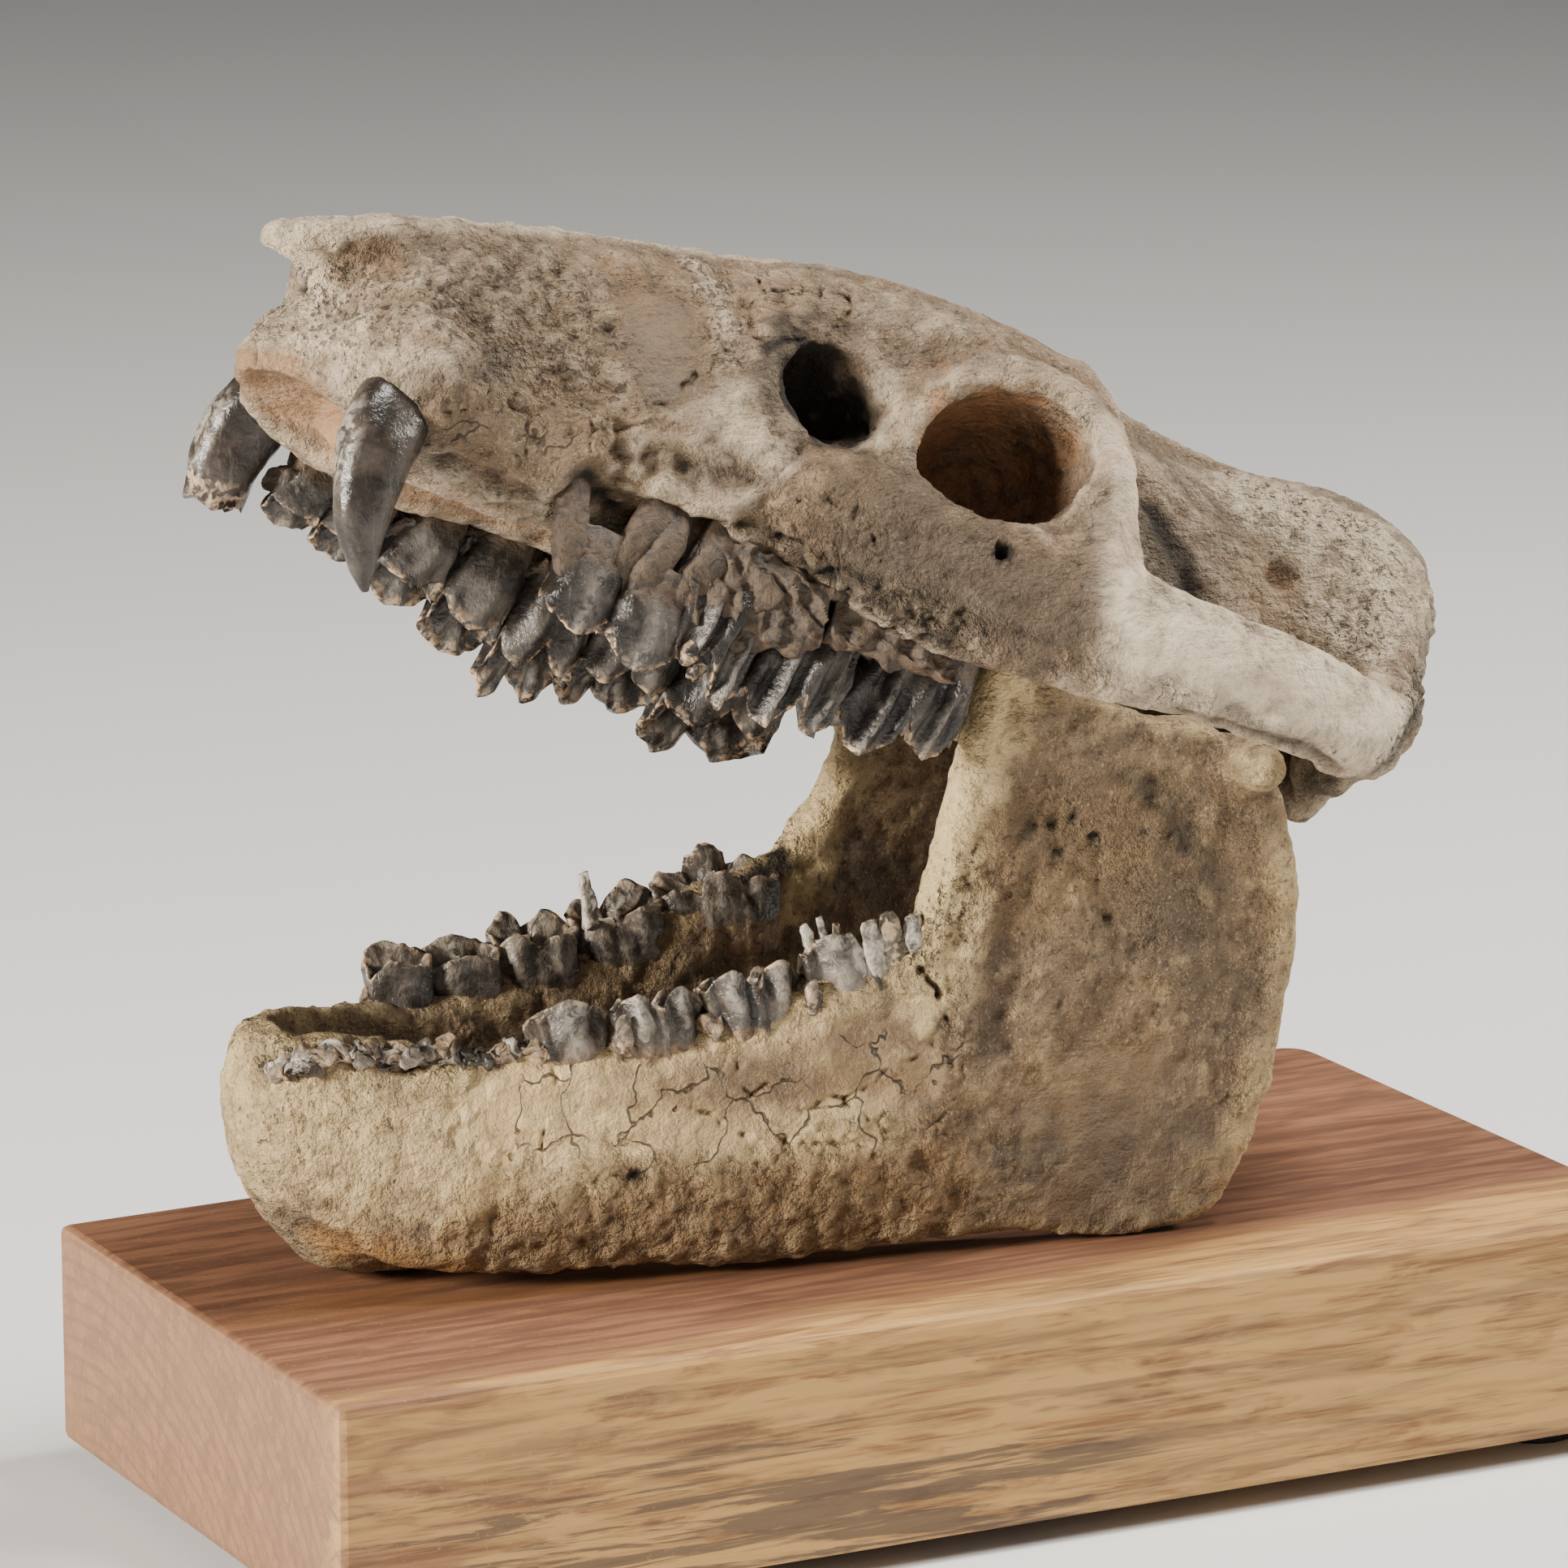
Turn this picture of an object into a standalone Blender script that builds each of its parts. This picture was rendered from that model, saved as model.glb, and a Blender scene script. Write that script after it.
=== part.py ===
"""An oreodont (Merycoidodon) skull with its jaws open, resting on a hardwood block with four rubber feet.

The cranium and the mandible are each one bone. Each starts as a bundle of overlapping lofts in its own frame,
in millimetres: x runs back from the snout, y to the animal's right, z up. A voxel remesh welds the bundle into
one skin, cutters open the hollows, and the result is smoothed and decimated. Then the teeth are welded on, because
each is one piece with the bone that holds it.
"""

import math

import bmesh
import bpy
from mathutils import Matrix, Vector

MM = 0.001
FIT_GAP = 0.3 * MM  # clearance between pieces that touch

# Driving dimensions, in millimetres. The block's underside is lifted by its feet.
BLOCK_LENGTH, BLOCK_WIDTH, BLOCK_HEIGHT = 223.0, 105.0, 34.0
BLOCK_FLARE, BLOCK_BOW, BLOCK_CORNER = 5.7, 0.4, 5.5  # the block is wider at its right end, behind the skull
FOOT_RADIUS, FOOT_HEIGHT, FOOT_INSET = 8.0, 3.5, 15.0
BLOCK_TOP = FOOT_HEIGHT + BLOCK_HEIGHT
BLOCK_Y = -4.6  # the block's centre line; the whole object's box is centred on y = 0
MIDLINE_Y = BLOCK_Y + 6.0  # the skull stands a little behind the block's centre line

# The cranium's frame has its origin midway between the two jaw joints.
JAW_JOINT = Vector((50.2, MIDLINE_Y, 106.1))
GAPE_PITCH, CRANIUM_YAW, CRANIUM_ROLL = (math.radians(a) for a in (25.0, 1.5, -8.5))
CONDYLE_RISE = 5.0  # the crushed skull sits skewed: the left jaw joint is this much higher, the right lower
JOINT_SPACE = 1.4  # between a jaw condyle and its socket

BONE_VOXEL = 1.3 * MM
CRANIUM_TRIANGLES, MANDIBLE_TRIANGLES = 3000, 1700
LEFT, RIGHT = -1, 1


# ---------------------------------------------------------------- shaping tools


def spline(values, t):
    """Catmull-Rom interpolation of a list of equal-length tuples, t running from 0 to len(values) - 1."""
    i = min(int(t), len(values) - 2)
    f = t - i
    p0 = values[max(i - 1, 0)]
    p1, p2 = values[i], values[i + 1]
    p3 = values[min(i + 2, len(values) - 1)]
    return [
        0.5 * (2 * b + (c - a) * f + (2 * a - 5 * b + 4 * c - d) * f**2 + (3 * b - a - 3 * c + d) * f**3)
        for a, b, c, d in zip(p0, p1, p2, p3)
    ]


def power(value, exponent):
    return math.copysign(abs(value) ** exponent, value)


def ring(bm, place, segments):
    """A loop of vertices: place(angle) gives each one's position. Returns its edges."""
    verts = bmesh.ops.create_circle(bm, segments=segments, radius=1.0)["verts"]
    for v in verts:
        v.co = place(math.atan2(v.co.y, v.co.x))
    return list({e for v in verts for e in v.link_edges})


def loft(bm, rings):
    """Bridges the loops in turn and caps both ends."""
    for near, far in zip(rings, rings[1:]):
        bmesh.ops.bridge_loops(bm, edges=near + far)
    for end in (rings[0], rings[-1]):
        bmesh.ops.contextual_create(bm, geom=end)


def hull(bm, stations, steps=3, segments=28):
    """A body lofted along x. A station is (x, top, bottom, waist height, half width, top power, bottom power):
    a power of 2 is an ellipse, more is squarer, less is sharper."""

    def section(x, top, bottom, waist, half_width, top_power, bottom_power):
        def place(angle):
            c, s = math.cos(angle), math.sin(angle)
            n = top_power if s > 0 else bottom_power
            rise = (top - waist) if s > 0 else (waist - bottom)
            return Vector((x, half_width * power(c, 2 / n), waist + rise * power(s, 2 / n)))

        return place

    spans = len(stations) - 1
    loft(bm, [ring(bm, section(*spline(stations, k / steps)), segments) for k in range(spans * steps + 1)])


def limb(bm, stations, up=(0, 0, 1), steps=3, segments=14, square=2.0):
    """A bar swept through stations of (x, y, z, half thickness, half height); height runs towards up."""
    spans = len(stations) - 1
    count = spans * steps + 1
    points = [spline(stations, k / steps) for k in range(count)]
    rings = []
    for k, (x, y, z, across, high) in enumerate(points):
        ahead, behind = points[min(k + 1, count - 1)], points[max(k - 1, 0)]
        along = (Vector(ahead[:3]) - Vector(behind[:3])).normalized()
        side = Vector(up).cross(along).normalized()
        rise = along.cross(side)

        def place(angle, centre=Vector((x, y, z)), side=side, rise=rise, across=across, high=high):
            c, s = power(math.cos(angle), 2 / square), power(math.sin(angle), 2 / square)
            return centre + side * (across * c) + rise * (high * s)

        rings.append(ring(bm, place, segments))
    loft(bm, rings)


def blob(bm, centre, radii, turn=None, facets=3):
    """An ellipsoid."""
    matrix = Matrix.Translation(centre) @ (turn or Matrix()) @ Matrix.Diagonal((*radii, 1))
    bmesh.ops.create_icosphere(bm, subdivisions=facets, radius=1.0, matrix=matrix)


def mirrored(stations, side):
    """The stations of a left or right bar, from those written with y as the distance from the midline."""
    return [(x, side * y, *rest) for x, y, *rest in stations]


def as_object(name, bm, surface=None):
    """The mesh, drawn in millimetres, as an object in metres."""
    bmesh.ops.recalc_face_normals(bm, faces=bm.faces)
    bmesh.ops.scale(bm, vec=(MM, MM, MM), verts=bm.verts)
    mesh = bpy.data.meshes.new(name)
    bm.to_mesh(mesh)
    bm.free()
    if surface:
        mesh.materials.append(surface)
    obj = bpy.data.objects.new(name, mesh)
    bpy.context.scene.collection.objects.link(obj)
    return obj


def material(name, colour, roughness):
    made = bpy.data.materials.new(name)
    made.use_nodes = True
    shader = made.node_tree.nodes["Principled BSDF"]
    shader.inputs["Base Color"].default_value = (*colour, 1)
    shader.inputs["Roughness"].default_value = roughness
    shader.inputs["Metallic"].default_value = 0
    return made


def remesh(obj, voxel):
    modifier = obj.modifiers.new("weld", "REMESH")
    modifier.mode = "VOXEL"
    modifier.voxel_size = voxel


def combine(obj, other, operation="DIFFERENCE", crossing=False):
    """Cuts the other shape out of obj or, with UNION, welds it on. The other one is hidden. Pieces of the other
    shape may cross each other where crossing is set."""
    other.hide_render = True
    other.display_type = "WIRE"
    modifier = obj.modifiers.new("with_" + other.name, "BOOLEAN")
    modifier.operation = operation
    modifier.solver = "EXACT"
    modifier.use_self = crossing
    modifier.object = other


def smooth(obj, turns):
    modifier = obj.modifiers.new("wear", "SMOOTH")
    modifier.factor = 0.5
    modifier.iterations = turns


def decimate_to(obj, triangles):
    """Collapses edges until about this many triangles are left."""
    bpy.context.view_layer.update()
    graph = bpy.context.evaluated_depsgraph_get()
    now = sum(len(p.vertices) - 2 for p in obj.evaluated_get(graph).data.polygons)
    modifier = obj.modifiers.new("thin", "DECIMATE")
    modifier.ratio = triangles / now
    modifier.use_collapse_triangulate = True


# ---------------------------------------------------------------- teeth


def tooth_lobe(bm, x, y, gum, tip, half_length, half_width, side, lean=0.0):
    """One cusp of a cheek tooth: a crown that narrows from the gum to a ridge on its cheek side."""
    stations = (
        (x, y, gum + 4 * math.copysign(1, gum - tip), 0.86, 0.94),
        (x + 0.4 * lean, y + side * 0.04 * half_width, gum + 0.40 * (tip - gum), 1.0, 0.96),
        (x + 0.8 * lean, y + side * 0.22 * half_width, gum + 0.80 * (tip - gum), 0.80, 0.60),
        (x + lean, y + side * 0.36 * half_width, tip, 0.34, 0.16),
    )
    rings = []
    for cx, cy, cz, long_share, wide_share in stations:

        def place(angle, cx=cx, cy=cy, cz=cz, a=half_length * long_share, b=half_width * wide_share):
            return Vector((cx + a * power(math.cos(angle), 0.7), cy + b * power(math.sin(angle), 0.7), cz))

        rings.append(ring(bm, place, 8))
    loft(bm, rings)


# Each upper tooth: front x, length, distance of its middle from the midline, half width and gum z, then the
# z of its cusp tips on the left and on the right, from the front. A side with no tips has lost that tooth.
UPPER_CHEEK_TEETH = {
    "P1": (-144.0, 8.5, 19.6, 3.2, -8.0, (), (-16.0,)),
    "P2": (-134.5, 10.0, 20.4, 3.8, -8.0, (), (-17.5,)),
    "P3": (-123.0, 11.0, 21.6, 4.6, -7.0, (-21.0,), (-20.5,)),
    "P4": (-111.0, 11.5, 22.8, 5.6, -5.5, (-23.2,), (-24.0,)),
    "M1": (-99.0, 13.5, 23.2, 6.8, -5.5, (-23.0, -25.0), (-28.0, -27.5)),
    "M2": (-85.0, 16.0, 23.6, 7.6, -6.5, (-24.8, -23.8), (-23.0, -23.5)),
    "M3": (-68.5, 20.0, 23.4, 7.6, -6.0, (-22.6, -20.5), (-25.5, -24.5)),
}
LOWER_CHEEK_TEETH = {
    "p2": (-81.5, 9.0, 15.4, 3.2, 35.0, (40.2,), ()),
    "p3": (-72.0, 10.0, 16.8, 3.4, 34.5, (42.0,), (45.5,)),
    "p4": (-61.5, 11.5, 18.4, 4.0, 34.5, (45.0,), (44.5,)),
    "m1": (-49.5, 13.5, 20.4, 4.6, 35.0, (44.8, 45.5), (46.0, 46.0)),
    "m2": (-35.5, 15.0, 22.2, 5.0, 36.5, (46.5, 47.5), (46.5, 48.0)),
    "m3": (-20.0, 20.0, 24.2, 5.0, 40.0, (49.5, 50.5, 51.0), (49.5, 52.0, 50.0)),
}


def cheek_teeth(bm, teeth, side, lean=0.0):
    for front, length, gauge, half_width, gum, left_tips, right_tips in teeth.values():
        tips = left_tips if side == LEFT else right_tips
        for k, tip in enumerate(tips):
            half = length / len(tips) / 2
            tooth_lobe(bm, front + (2 * k + 1) * half, side * gauge, gum, tip, half * 1.04, half_width, side, lean)


# An upper canine, from its root to its tip: x, distance from the midline, z, half thickness, half height.
CANINE = [
    (-149.5, 18.6, 7.0, 3.6, 4.6),
    (-151.8, 20.2, 0.0, 4.6, 6.0),
    (-153.2, 21.8, -8.0, 4.3, 5.8),
    (-152.6, 22.6, -16.0, 3.4, 4.4),
    (-150.2, 22.8, -22.8, 1.9, 2.4),
    (-148.2, 22.6, -26.6, 0.5, 0.6),
]


def canine(bm, side):
    """The right one has lost its tip."""
    stations = CANINE if side == LEFT else CANINE[:-2]
    limb(bm, mirrored(stations, side), up=(1, 0, 0), steps=1, segments=10)


# ---------------------------------------------------------------- cranium

FACE = [  # x, top, bottom, waist, half width, top power, bottom power
    (-166.0, 6.0, -1.0, 2.5, 3.5, 2.0, 2.4),
    (-163.0, 8.5, -2.5, 2.5, 8.0, 2.0, 2.6),
    (-159.5, 11.5, -3.5, 3.0, 13.0, 2.0, 3.0),
    (-156.0, 19.0, -4.5, 3.5, 18.0, 1.9, 3.2),
    (-152.0, 27.0, -5.5, 4.0, 21.5, 1.9, 3.2),
    (-143.0, 31.5, -8.0, 4.0, 22.5, 2.0, 3.4),
    (-131.0, 35.0, -9.0, 4.0, 24.0, 2.1, 3.6),
    (-119.0, 38.0, -7.5, 4.5, 26.5, 2.2, 3.6),
    (-107.0, 41.0, -6.0, 6.0, 28.5, 2.3, 3.6),
    (-95.0, 43.8, -6.0, 8.0, 30.5, 2.5, 3.8),
    (-83.0, 46.8, -7.0, 10.0, 31.5, 2.7, 4.0),
    (-71.0, 48.2, -7.0, 12.0, 32.0, 3.0, 4.2),
    (-59.0, 48.6, -6.5, 14.0, 30.0, 3.0, 4.2),
    (-50.0, 48.2, -4.0, 16.0, 26.0, 2.8, 3.6),
    (-43.0, 46.5, 2.0, 20.0, 19.0, 2.4, 3.0),
]
NARIS_FILL = [  # the stone left in the nose opening
    (-161.5, 20.0, 8.0, 14.0, 4.0, 2.0, 2.0),
    (-158.5, 23.0, 3.0, 14.0, 8.5, 2.0, 2.0),
    (-152.0, 26.0, 2.0, 14.0, 14.0, 2.0, 2.0),
]
FRONTAL_ROOF = [
    (-92.0, 44.0, 26.0, 36.0, 22.0, 2.4, 2.0),
    (-80.0, 46.6, 28.0, 38.0, 27.0, 2.4, 2.2),
    (-68.0, 47.6, 31.0, 39.5, 31.0, 2.3, 2.4),
    (-57.0, 47.6, 33.0, 40.0, 33.0, 2.2, 2.4),
    (-50.0, 47.2, 34.0, 40.5, 32.0, 2.1, 2.4),
    (-44.0, 46.6, 34.0, 40.5, 26.0, 2.0, 2.2),
    (-38.0, 46.6, 32.0, 40.0, 18.0, 2.0, 2.0),
    (-30.0, 45.5, 30.0, 38.0, 10.0, 2.0, 2.0),
]
BRAINCASE = [
    (-58.0, 45.0, 0.0, 22.0, 15.0, 2.4, 2.6),
    (-46.0, 45.0, -1.0, 20.0, 15.5, 2.2, 2.6),
    (-34.0, 44.0, -2.0, 19.0, 18.0, 1.9, 2.6),
    (-22.0, 43.0, -3.0, 18.0, 22.0, 1.7, 2.6),
    (-10.0, 42.5, -3.5, 17.0, 26.0, 1.6, 2.4),
    (2.0, 43.0, -4.0, 16.0, 28.0, 1.6, 2.4),
    (14.0, 44.0, -4.0, 16.0, 28.0, 1.8, 2.4),
    (25.0, 44.0, -2.0, 16.0, 24.0, 2.0, 2.4),
]
CREST = [  # x, y, z, half thickness, half height
    (-40.0, 0.0, 42.0, 9.0, 5.5),
    (-26.0, 0.0, 41.2, 4.5, 5.2),
    (-10.0, 0.0, 40.5, 3.2, 4.8),
    (4.0, 0.0, 40.5, 3.4, 4.6),
    (18.0, 0.0, 41.5, 5.0, 4.6),
    (29.0, 0.0, 40.5, 6.0, 4.6),
]
NUCHAL_BLOCK = [
    (-4.0, 43.5, 0.0, 14.0, 24.0, 1.8, 2.4),
    (5.0, 45.0, -2.0, 14.0, 29.5, 2.0, 2.4),
    (12.0, 46.0, -4.0, 14.0, 34.5, 2.1, 2.2),
    (18.5, 46.2, -4.0, 15.0, 35.5, 2.2, 2.1),
    (24.0, 45.5, -2.0, 17.0, 33.0, 2.3, 2.0),
    (28.5, 44.0, 2.0, 19.0, 27.5, 2.4, 2.0),
    (32.0, 41.5, 6.0, 21.0, 20.0, 2.3, 2.0),
    (34.0, 37.5, 11.0, 24.0, 12.0, 2.0, 2.0),
]
SKULL_BASE = [
    (-52.0, 6.0, -5.0, 0.0, 12.0, 2.0, 2.4),
    (-36.0, 6.0, -7.0, 0.0, 10.0, 2.0, 2.2),
    (-18.0, 6.0, -7.0, 0.0, 11.0, 2.0, 2.2),
    (0.0, 6.0, -6.5, 0.0, 12.0, 2.0, 2.2),
    (16.0, 8.0, -5.5, 0.0, 12.0, 2.0, 2.2),
    (28.0, 10.0, -2.5, 3.0, 11.0, 2.0, 2.2),
]
# Bars of each side: (x, distance from the midline, z, half thickness, half height).
NASAL_BONE = [
    (-168.0, 3.0, 20.4, 3.0, 1.4),
    (-162.0, 4.6, 22.8, 4.8, 1.9),
    (-152.0, 5.6, 26.6, 5.6, 2.2),
    (-138.0, 5.6, 29.4, 5.2, 2.2),
]
ZYGOMATIC_ARCH = [
    (-100.0, 21.0, 8.5, 5.0, 6.0),
    (-90.0, 26.5, 8.0, 6.0, 8.5),
    (-80.0, 33.0, 6.6, 6.5, 10.8),
    (-69.0, 39.0, 5.3, 5.6, 11.7),
    (-57.0, 44.5, 4.3, 4.5, 11.5),
    (-44.0, 48.5, 4.6, 4.2, 10.5),
    (-30.0, 51.0, 5.2, 4.0, 9.3),
    (-16.0, 52.0, 5.4, 4.0, 8.6),
    (-4.0, 50.5, 5.6, 4.5, 8.0),
    (6.0, 45.5, 6.0, 6.0, 8.0),
    (14.0, 38.0, 9.0, 6.5, 8.0),
    (21.0, 29.0, 14.0, 6.5, 8.5),
]
POSTORBITAL_BAR = [
    (-50.0, 27.0, 41.5, 4.0, 5.5),
    (-48.5, 34.0, 37.0, 3.6, 5.0),
    (-46.5, 40.5, 30.0, 3.2, 4.6),
    (-46.0, 45.0, 21.0, 3.2, 5.2),
    (-46.0, 47.5, 11.0, 3.6, 8.0),
]
ORBIT_CENTRE, ORBIT_LONG, ORBIT_HIGH, ORBIT_DEPTH = Vector((-61.5, 36.0, 23.6)), 13.6, 10.8, 21.0
ORBIT_FORWARD, ORBIT_UP, ORBIT_TILT = (math.radians(a) for a in (20.0, 8.0, 24.0))


def orbit_frame(side):
    """x along the orbit's long axis, y out of it, z towards its roof."""
    turn = Matrix.Rotation(side * ORBIT_FORWARD, 4, "Z") @ Matrix.Rotation(side * ORBIT_UP, 4, "X")
    turn = turn @ Matrix.Rotation(-ORBIT_TILT, 4, "Y")
    centre = Vector((ORBIT_CENTRE.x, side * ORBIT_CENTRE.y, ORBIT_CENTRE.z))
    return Matrix.Translation(centre) @ turn


def orbit_rim(bm, side, tube=3.6, segments=28):
    """The raised ring round the eye socket."""
    frame = orbit_frame(side)
    rings = []
    for k in range(segments):
        turn = 2 * math.pi * k / segments
        out = Vector((math.cos(turn), 0, math.sin(turn)))
        centre = Vector((math.cos(turn) * (ORBIT_LONG + 0.6 * tube), 0, math.sin(turn) * (ORBIT_HIGH + 0.6 * tube)))

        def place(angle, centre=centre, out=out):
            return frame @ (centre + out * tube * math.cos(angle) + Vector((0, tube * math.sin(angle), 0)))

        rings.append(ring(bm, place, 10))
    for near, far in zip(rings, rings[1:] + rings[:1]):
        bmesh.ops.bridge_loops(bm, edges=near + far)


def cranium(surface):
    bm = bmesh.new()
    for body in (FACE, NARIS_FILL, FRONTAL_ROOF, BRAINCASE, NUCHAL_BLOCK, SKULL_BASE):
        hull(bm, body)
    limb(bm, CREST)
    for side in (LEFT, RIGHT):
        limb(bm, mirrored(NASAL_BONE, side))
        limb(bm, mirrored(ZYGOMATIC_ARCH, side), square=2.3)
        limb(bm, mirrored(POSTORBITAL_BAR, side), up=(1, 0, 0))
        orbit_rim(bm, side)
        blob(bm, (-57.0, side * 22.0, 23.0), (15.0, 14.0, 17.0))  # the eye socket's inner wall
        blob(bm, (-62.0, side * 34.0, 8.5), (14.0, 11.0, 8.5))  # its floor
        blob(bm, (-50.0, side * 33.0, 25.0), (5.0, 11.0, 12.0))  # its hind wall
        blob(bm, (-149.5, side * 18.4, 6.0), (8.6, 8.2, 9.0))  # the canine's root swelling
        blob(bm, (28.0, side * 8.5, 6.0), (6.0, 6.0, 7.0))  # occipital condyle
        blob(bm, (2.0, side * 17.0, -4.0), (9.0, 6.5, 6.5))  # ear bulla
        limb(bm, mirrored([(9.0, 36.0, 6.0, 8.0, 4.0), (10.0, 36.0, -4.0, 6.5, 2.2)], side), up=(1, 0, 0))
        limb(bm, mirrored([(14.0, 27.0, 2.0, 6.0, 5.0), (13.0, 25.5, -7.0, 3.0, 3.5)], side), up=(1, 0, 0))
        limb(bm, mirrored([(-50.0, 11.5, -4.0, 2.4, 5.0), (-30.0, 9.5, -6.0, 2.2, 5.0), (-14.0, 9.0, -4.0, 2, 3)], side))
    bone = as_object("cranium", bm, surface)
    bone.matrix_world = CRANIUM_POSE
    remesh(bone, BONE_VOXEL)

    hollows = bmesh.new()
    for side in (LEFT, RIGHT):
        frame = orbit_frame(side)
        blob(hollows, frame.to_translation(), (ORBIT_LONG, ORBIT_DEPTH, ORBIT_HIGH), frame.to_3x3().to_4x4())
        blob(hollows, (-88.0, side * 35.0, 24.5), (11.0, 13.0, 8.5))  # lacrimal pit
        blob(hollows, (38.5, side * 11.5, 27.0), (7.0, 9.5, 11.0))  # hollow of the occiput's back
    blob(hollows, (-100.0, 0.0, -14.0), (58.0, 16.5, 13.0))  # palate vault
    blob(hollows, (-28.0, 0.0, -12.0), (18.0, 6.5, 10.0))  # inner nostrils
    blob(hollows, (36.0, 0.0, 10.0), (12.0, 6.0, 5.5))  # foramen magnum
    cutter = as_object("cranium_hollows", hollows)
    cutter.matrix_world = CRANIUM_POSE
    combine(bone, cutter)
    remesh(bone, BONE_VOXEL)
    smooth(bone, 6)
    decimate_to(bone, CRANIUM_TRIANGLES)

    rows, joints = bmesh.new(), bmesh.new()
    for side in (LEFT, RIGHT):
        cheek_teeth(rows, UPPER_CHEEK_TEETH, side)
        canine(rows, side)
        jaw_condyle(joints, side, grow=JOINT_SPACE)
    teeth = as_object("upper_teeth", rows)
    teeth.matrix_world = CRANIUM_POSE
    combine(bone, teeth, "UNION", crossing=True)
    sockets = as_object("jaw_sockets", joints)
    sockets.matrix_world = MANDIBLE_POSE
    combine(bone, sockets, crossing=True)


# ---------------------------------------------------------------- mandible

SYMPHYSIS = [
    (-102.0, 33.0, 21.0, 27.0, 3.0, 2.0, 2.0),
    (-101.2, 36.0, 18.0, 27.0, 6.0, 2.4, 2.0),
    (-99.0, 38.6, 13.5, 27.0, 9.5, 3.4, 2.0),
    (-95.5, 40.2, 8.5, 27.0, 12.6, 3.8, 2.0),
    (-90.0, 40.4, 3.0, 26.0, 15.6, 4.0, 2.2),
    (-82.0, 39.4, 0.4, 25.0, 17.6, 3.8, 1.8),
    (-72.0, 37.0, 0.3, 23.0, 18.0, 3.0, 1.7),
    (-62.0, 28.0, 3.0, 18.0, 17.0, 2.4, 2.0),
]
TROUGH = [  # the hollow for the tongue: x, y, z, half width, half height
    (-94.0, 0.0, 43.0, 5.5, 5.0),
    (-86.0, 0.0, 41.0, 8.0, 8.0),
    (-72.0, 0.0, 37.0, 11.0, 12.0),
    (-58.0, 0.0, 30.0, 12.5, 20.0),
    (-48.0, 0.0, 30.0, 12.5, 24.0),
]
# The tooth-bearing bar: (x, distance from the midline, z, half thickness, half height).
JAW_BAR = [
    (-90.0, 10.5, 25.0, 4.5, 13.0),
    (-80.0, 13.4, 21.5, 5.4, 16.5),
    (-66.0, 16.4, 19.7, 5.8, 17.3),
    (-52.0, 18.6, 19.5, 6.0, 17.3),
    (-38.0, 21.0, 19.7, 6.2, 18.5),
    (-24.0, 23.2, 21.0, 6.5, 20.4),
    (-10.0, 25.6, 24.0, 6.5, 22.5),
    (4.0, 28.0, 26.0, 5.4, 24.5),
    (16.0, 30.0, 27.5, 4.2, 25.5),
    (28.0, 31.6, 29.0, 2.8, 26.0),
]
# The plate behind the teeth, as (x, z): first its front edge from the last tooth up, which is broken back on the
# right, then its tip, the notch, the joint, the angle and the underside.
RAMUS_FRONT = {
    LEFT: [(-6.0, 40.0), (-2.5, 54.0), (1.5, 68.0), (5.0, 80.0), (9.0, 89.0)],
    RIGHT: [(-5.0, 40.0), (4.0, 54.0), (11.5, 66.0), (13.5, 79.0), (14.5, 87.0)],
}
RAMUS_REST = [
    (14.5, 91.0), (19.5, 86.5), (27.0, 81.0), (35.0, 78.0), (42.5, 76.5), (50.0, 70.5), (54.8, 63.0), (57.0, 55.0),
    (57.4, 46.0), (55.8, 34.0), (52.8, 21.0), (48.5, 9.5), (43.0, 1.8), (33.0, 0.0), (21.0, 0.5), (8.0, 4.0),
    (-4.0, 12.0),
]
HIND_EDGE = [(50.5, 63), (54, 54), (54.2, 45), (52.6, 33), (49.6, 21), (45.4, 11), (40.5, 5.4), (33, 4.2), (21, 4.6)]
RAMUS_FRONT_GAUGE, RAMUS_BACK_GAUGE = 27.5, 34.5
RAMUS_HALF_THICKNESS, RAMUS_EDGE = 3.0, 3.4
CONDYLE = Vector((48.5, 34.0, 66.5))
CONDYLE_RADII = Vector((5.0, 10.5, 4.4))
CONDYLE_NECK = 3.6


def ramus_point(x, z, side):
    """A point of the plate's middle. Its gauge widens to the back, and the joints' skew lifts its left upper part."""
    share = min(max((x + 5.0) / 60.0, 0.0), 1.0)
    lift = -side * CONDYLE_RISE * min(max((z - 35.0) / 30.0, 0.0), 1.0)
    if side == LEFT:
        lift = min(lift, CONDYLE_RISE * max((z - 60.0), 0.0) / 60.0)
    return x, side * (RAMUS_FRONT_GAUGE + (RAMUS_BACK_GAUGE - RAMUS_FRONT_GAUGE) * share), z + lift


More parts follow.
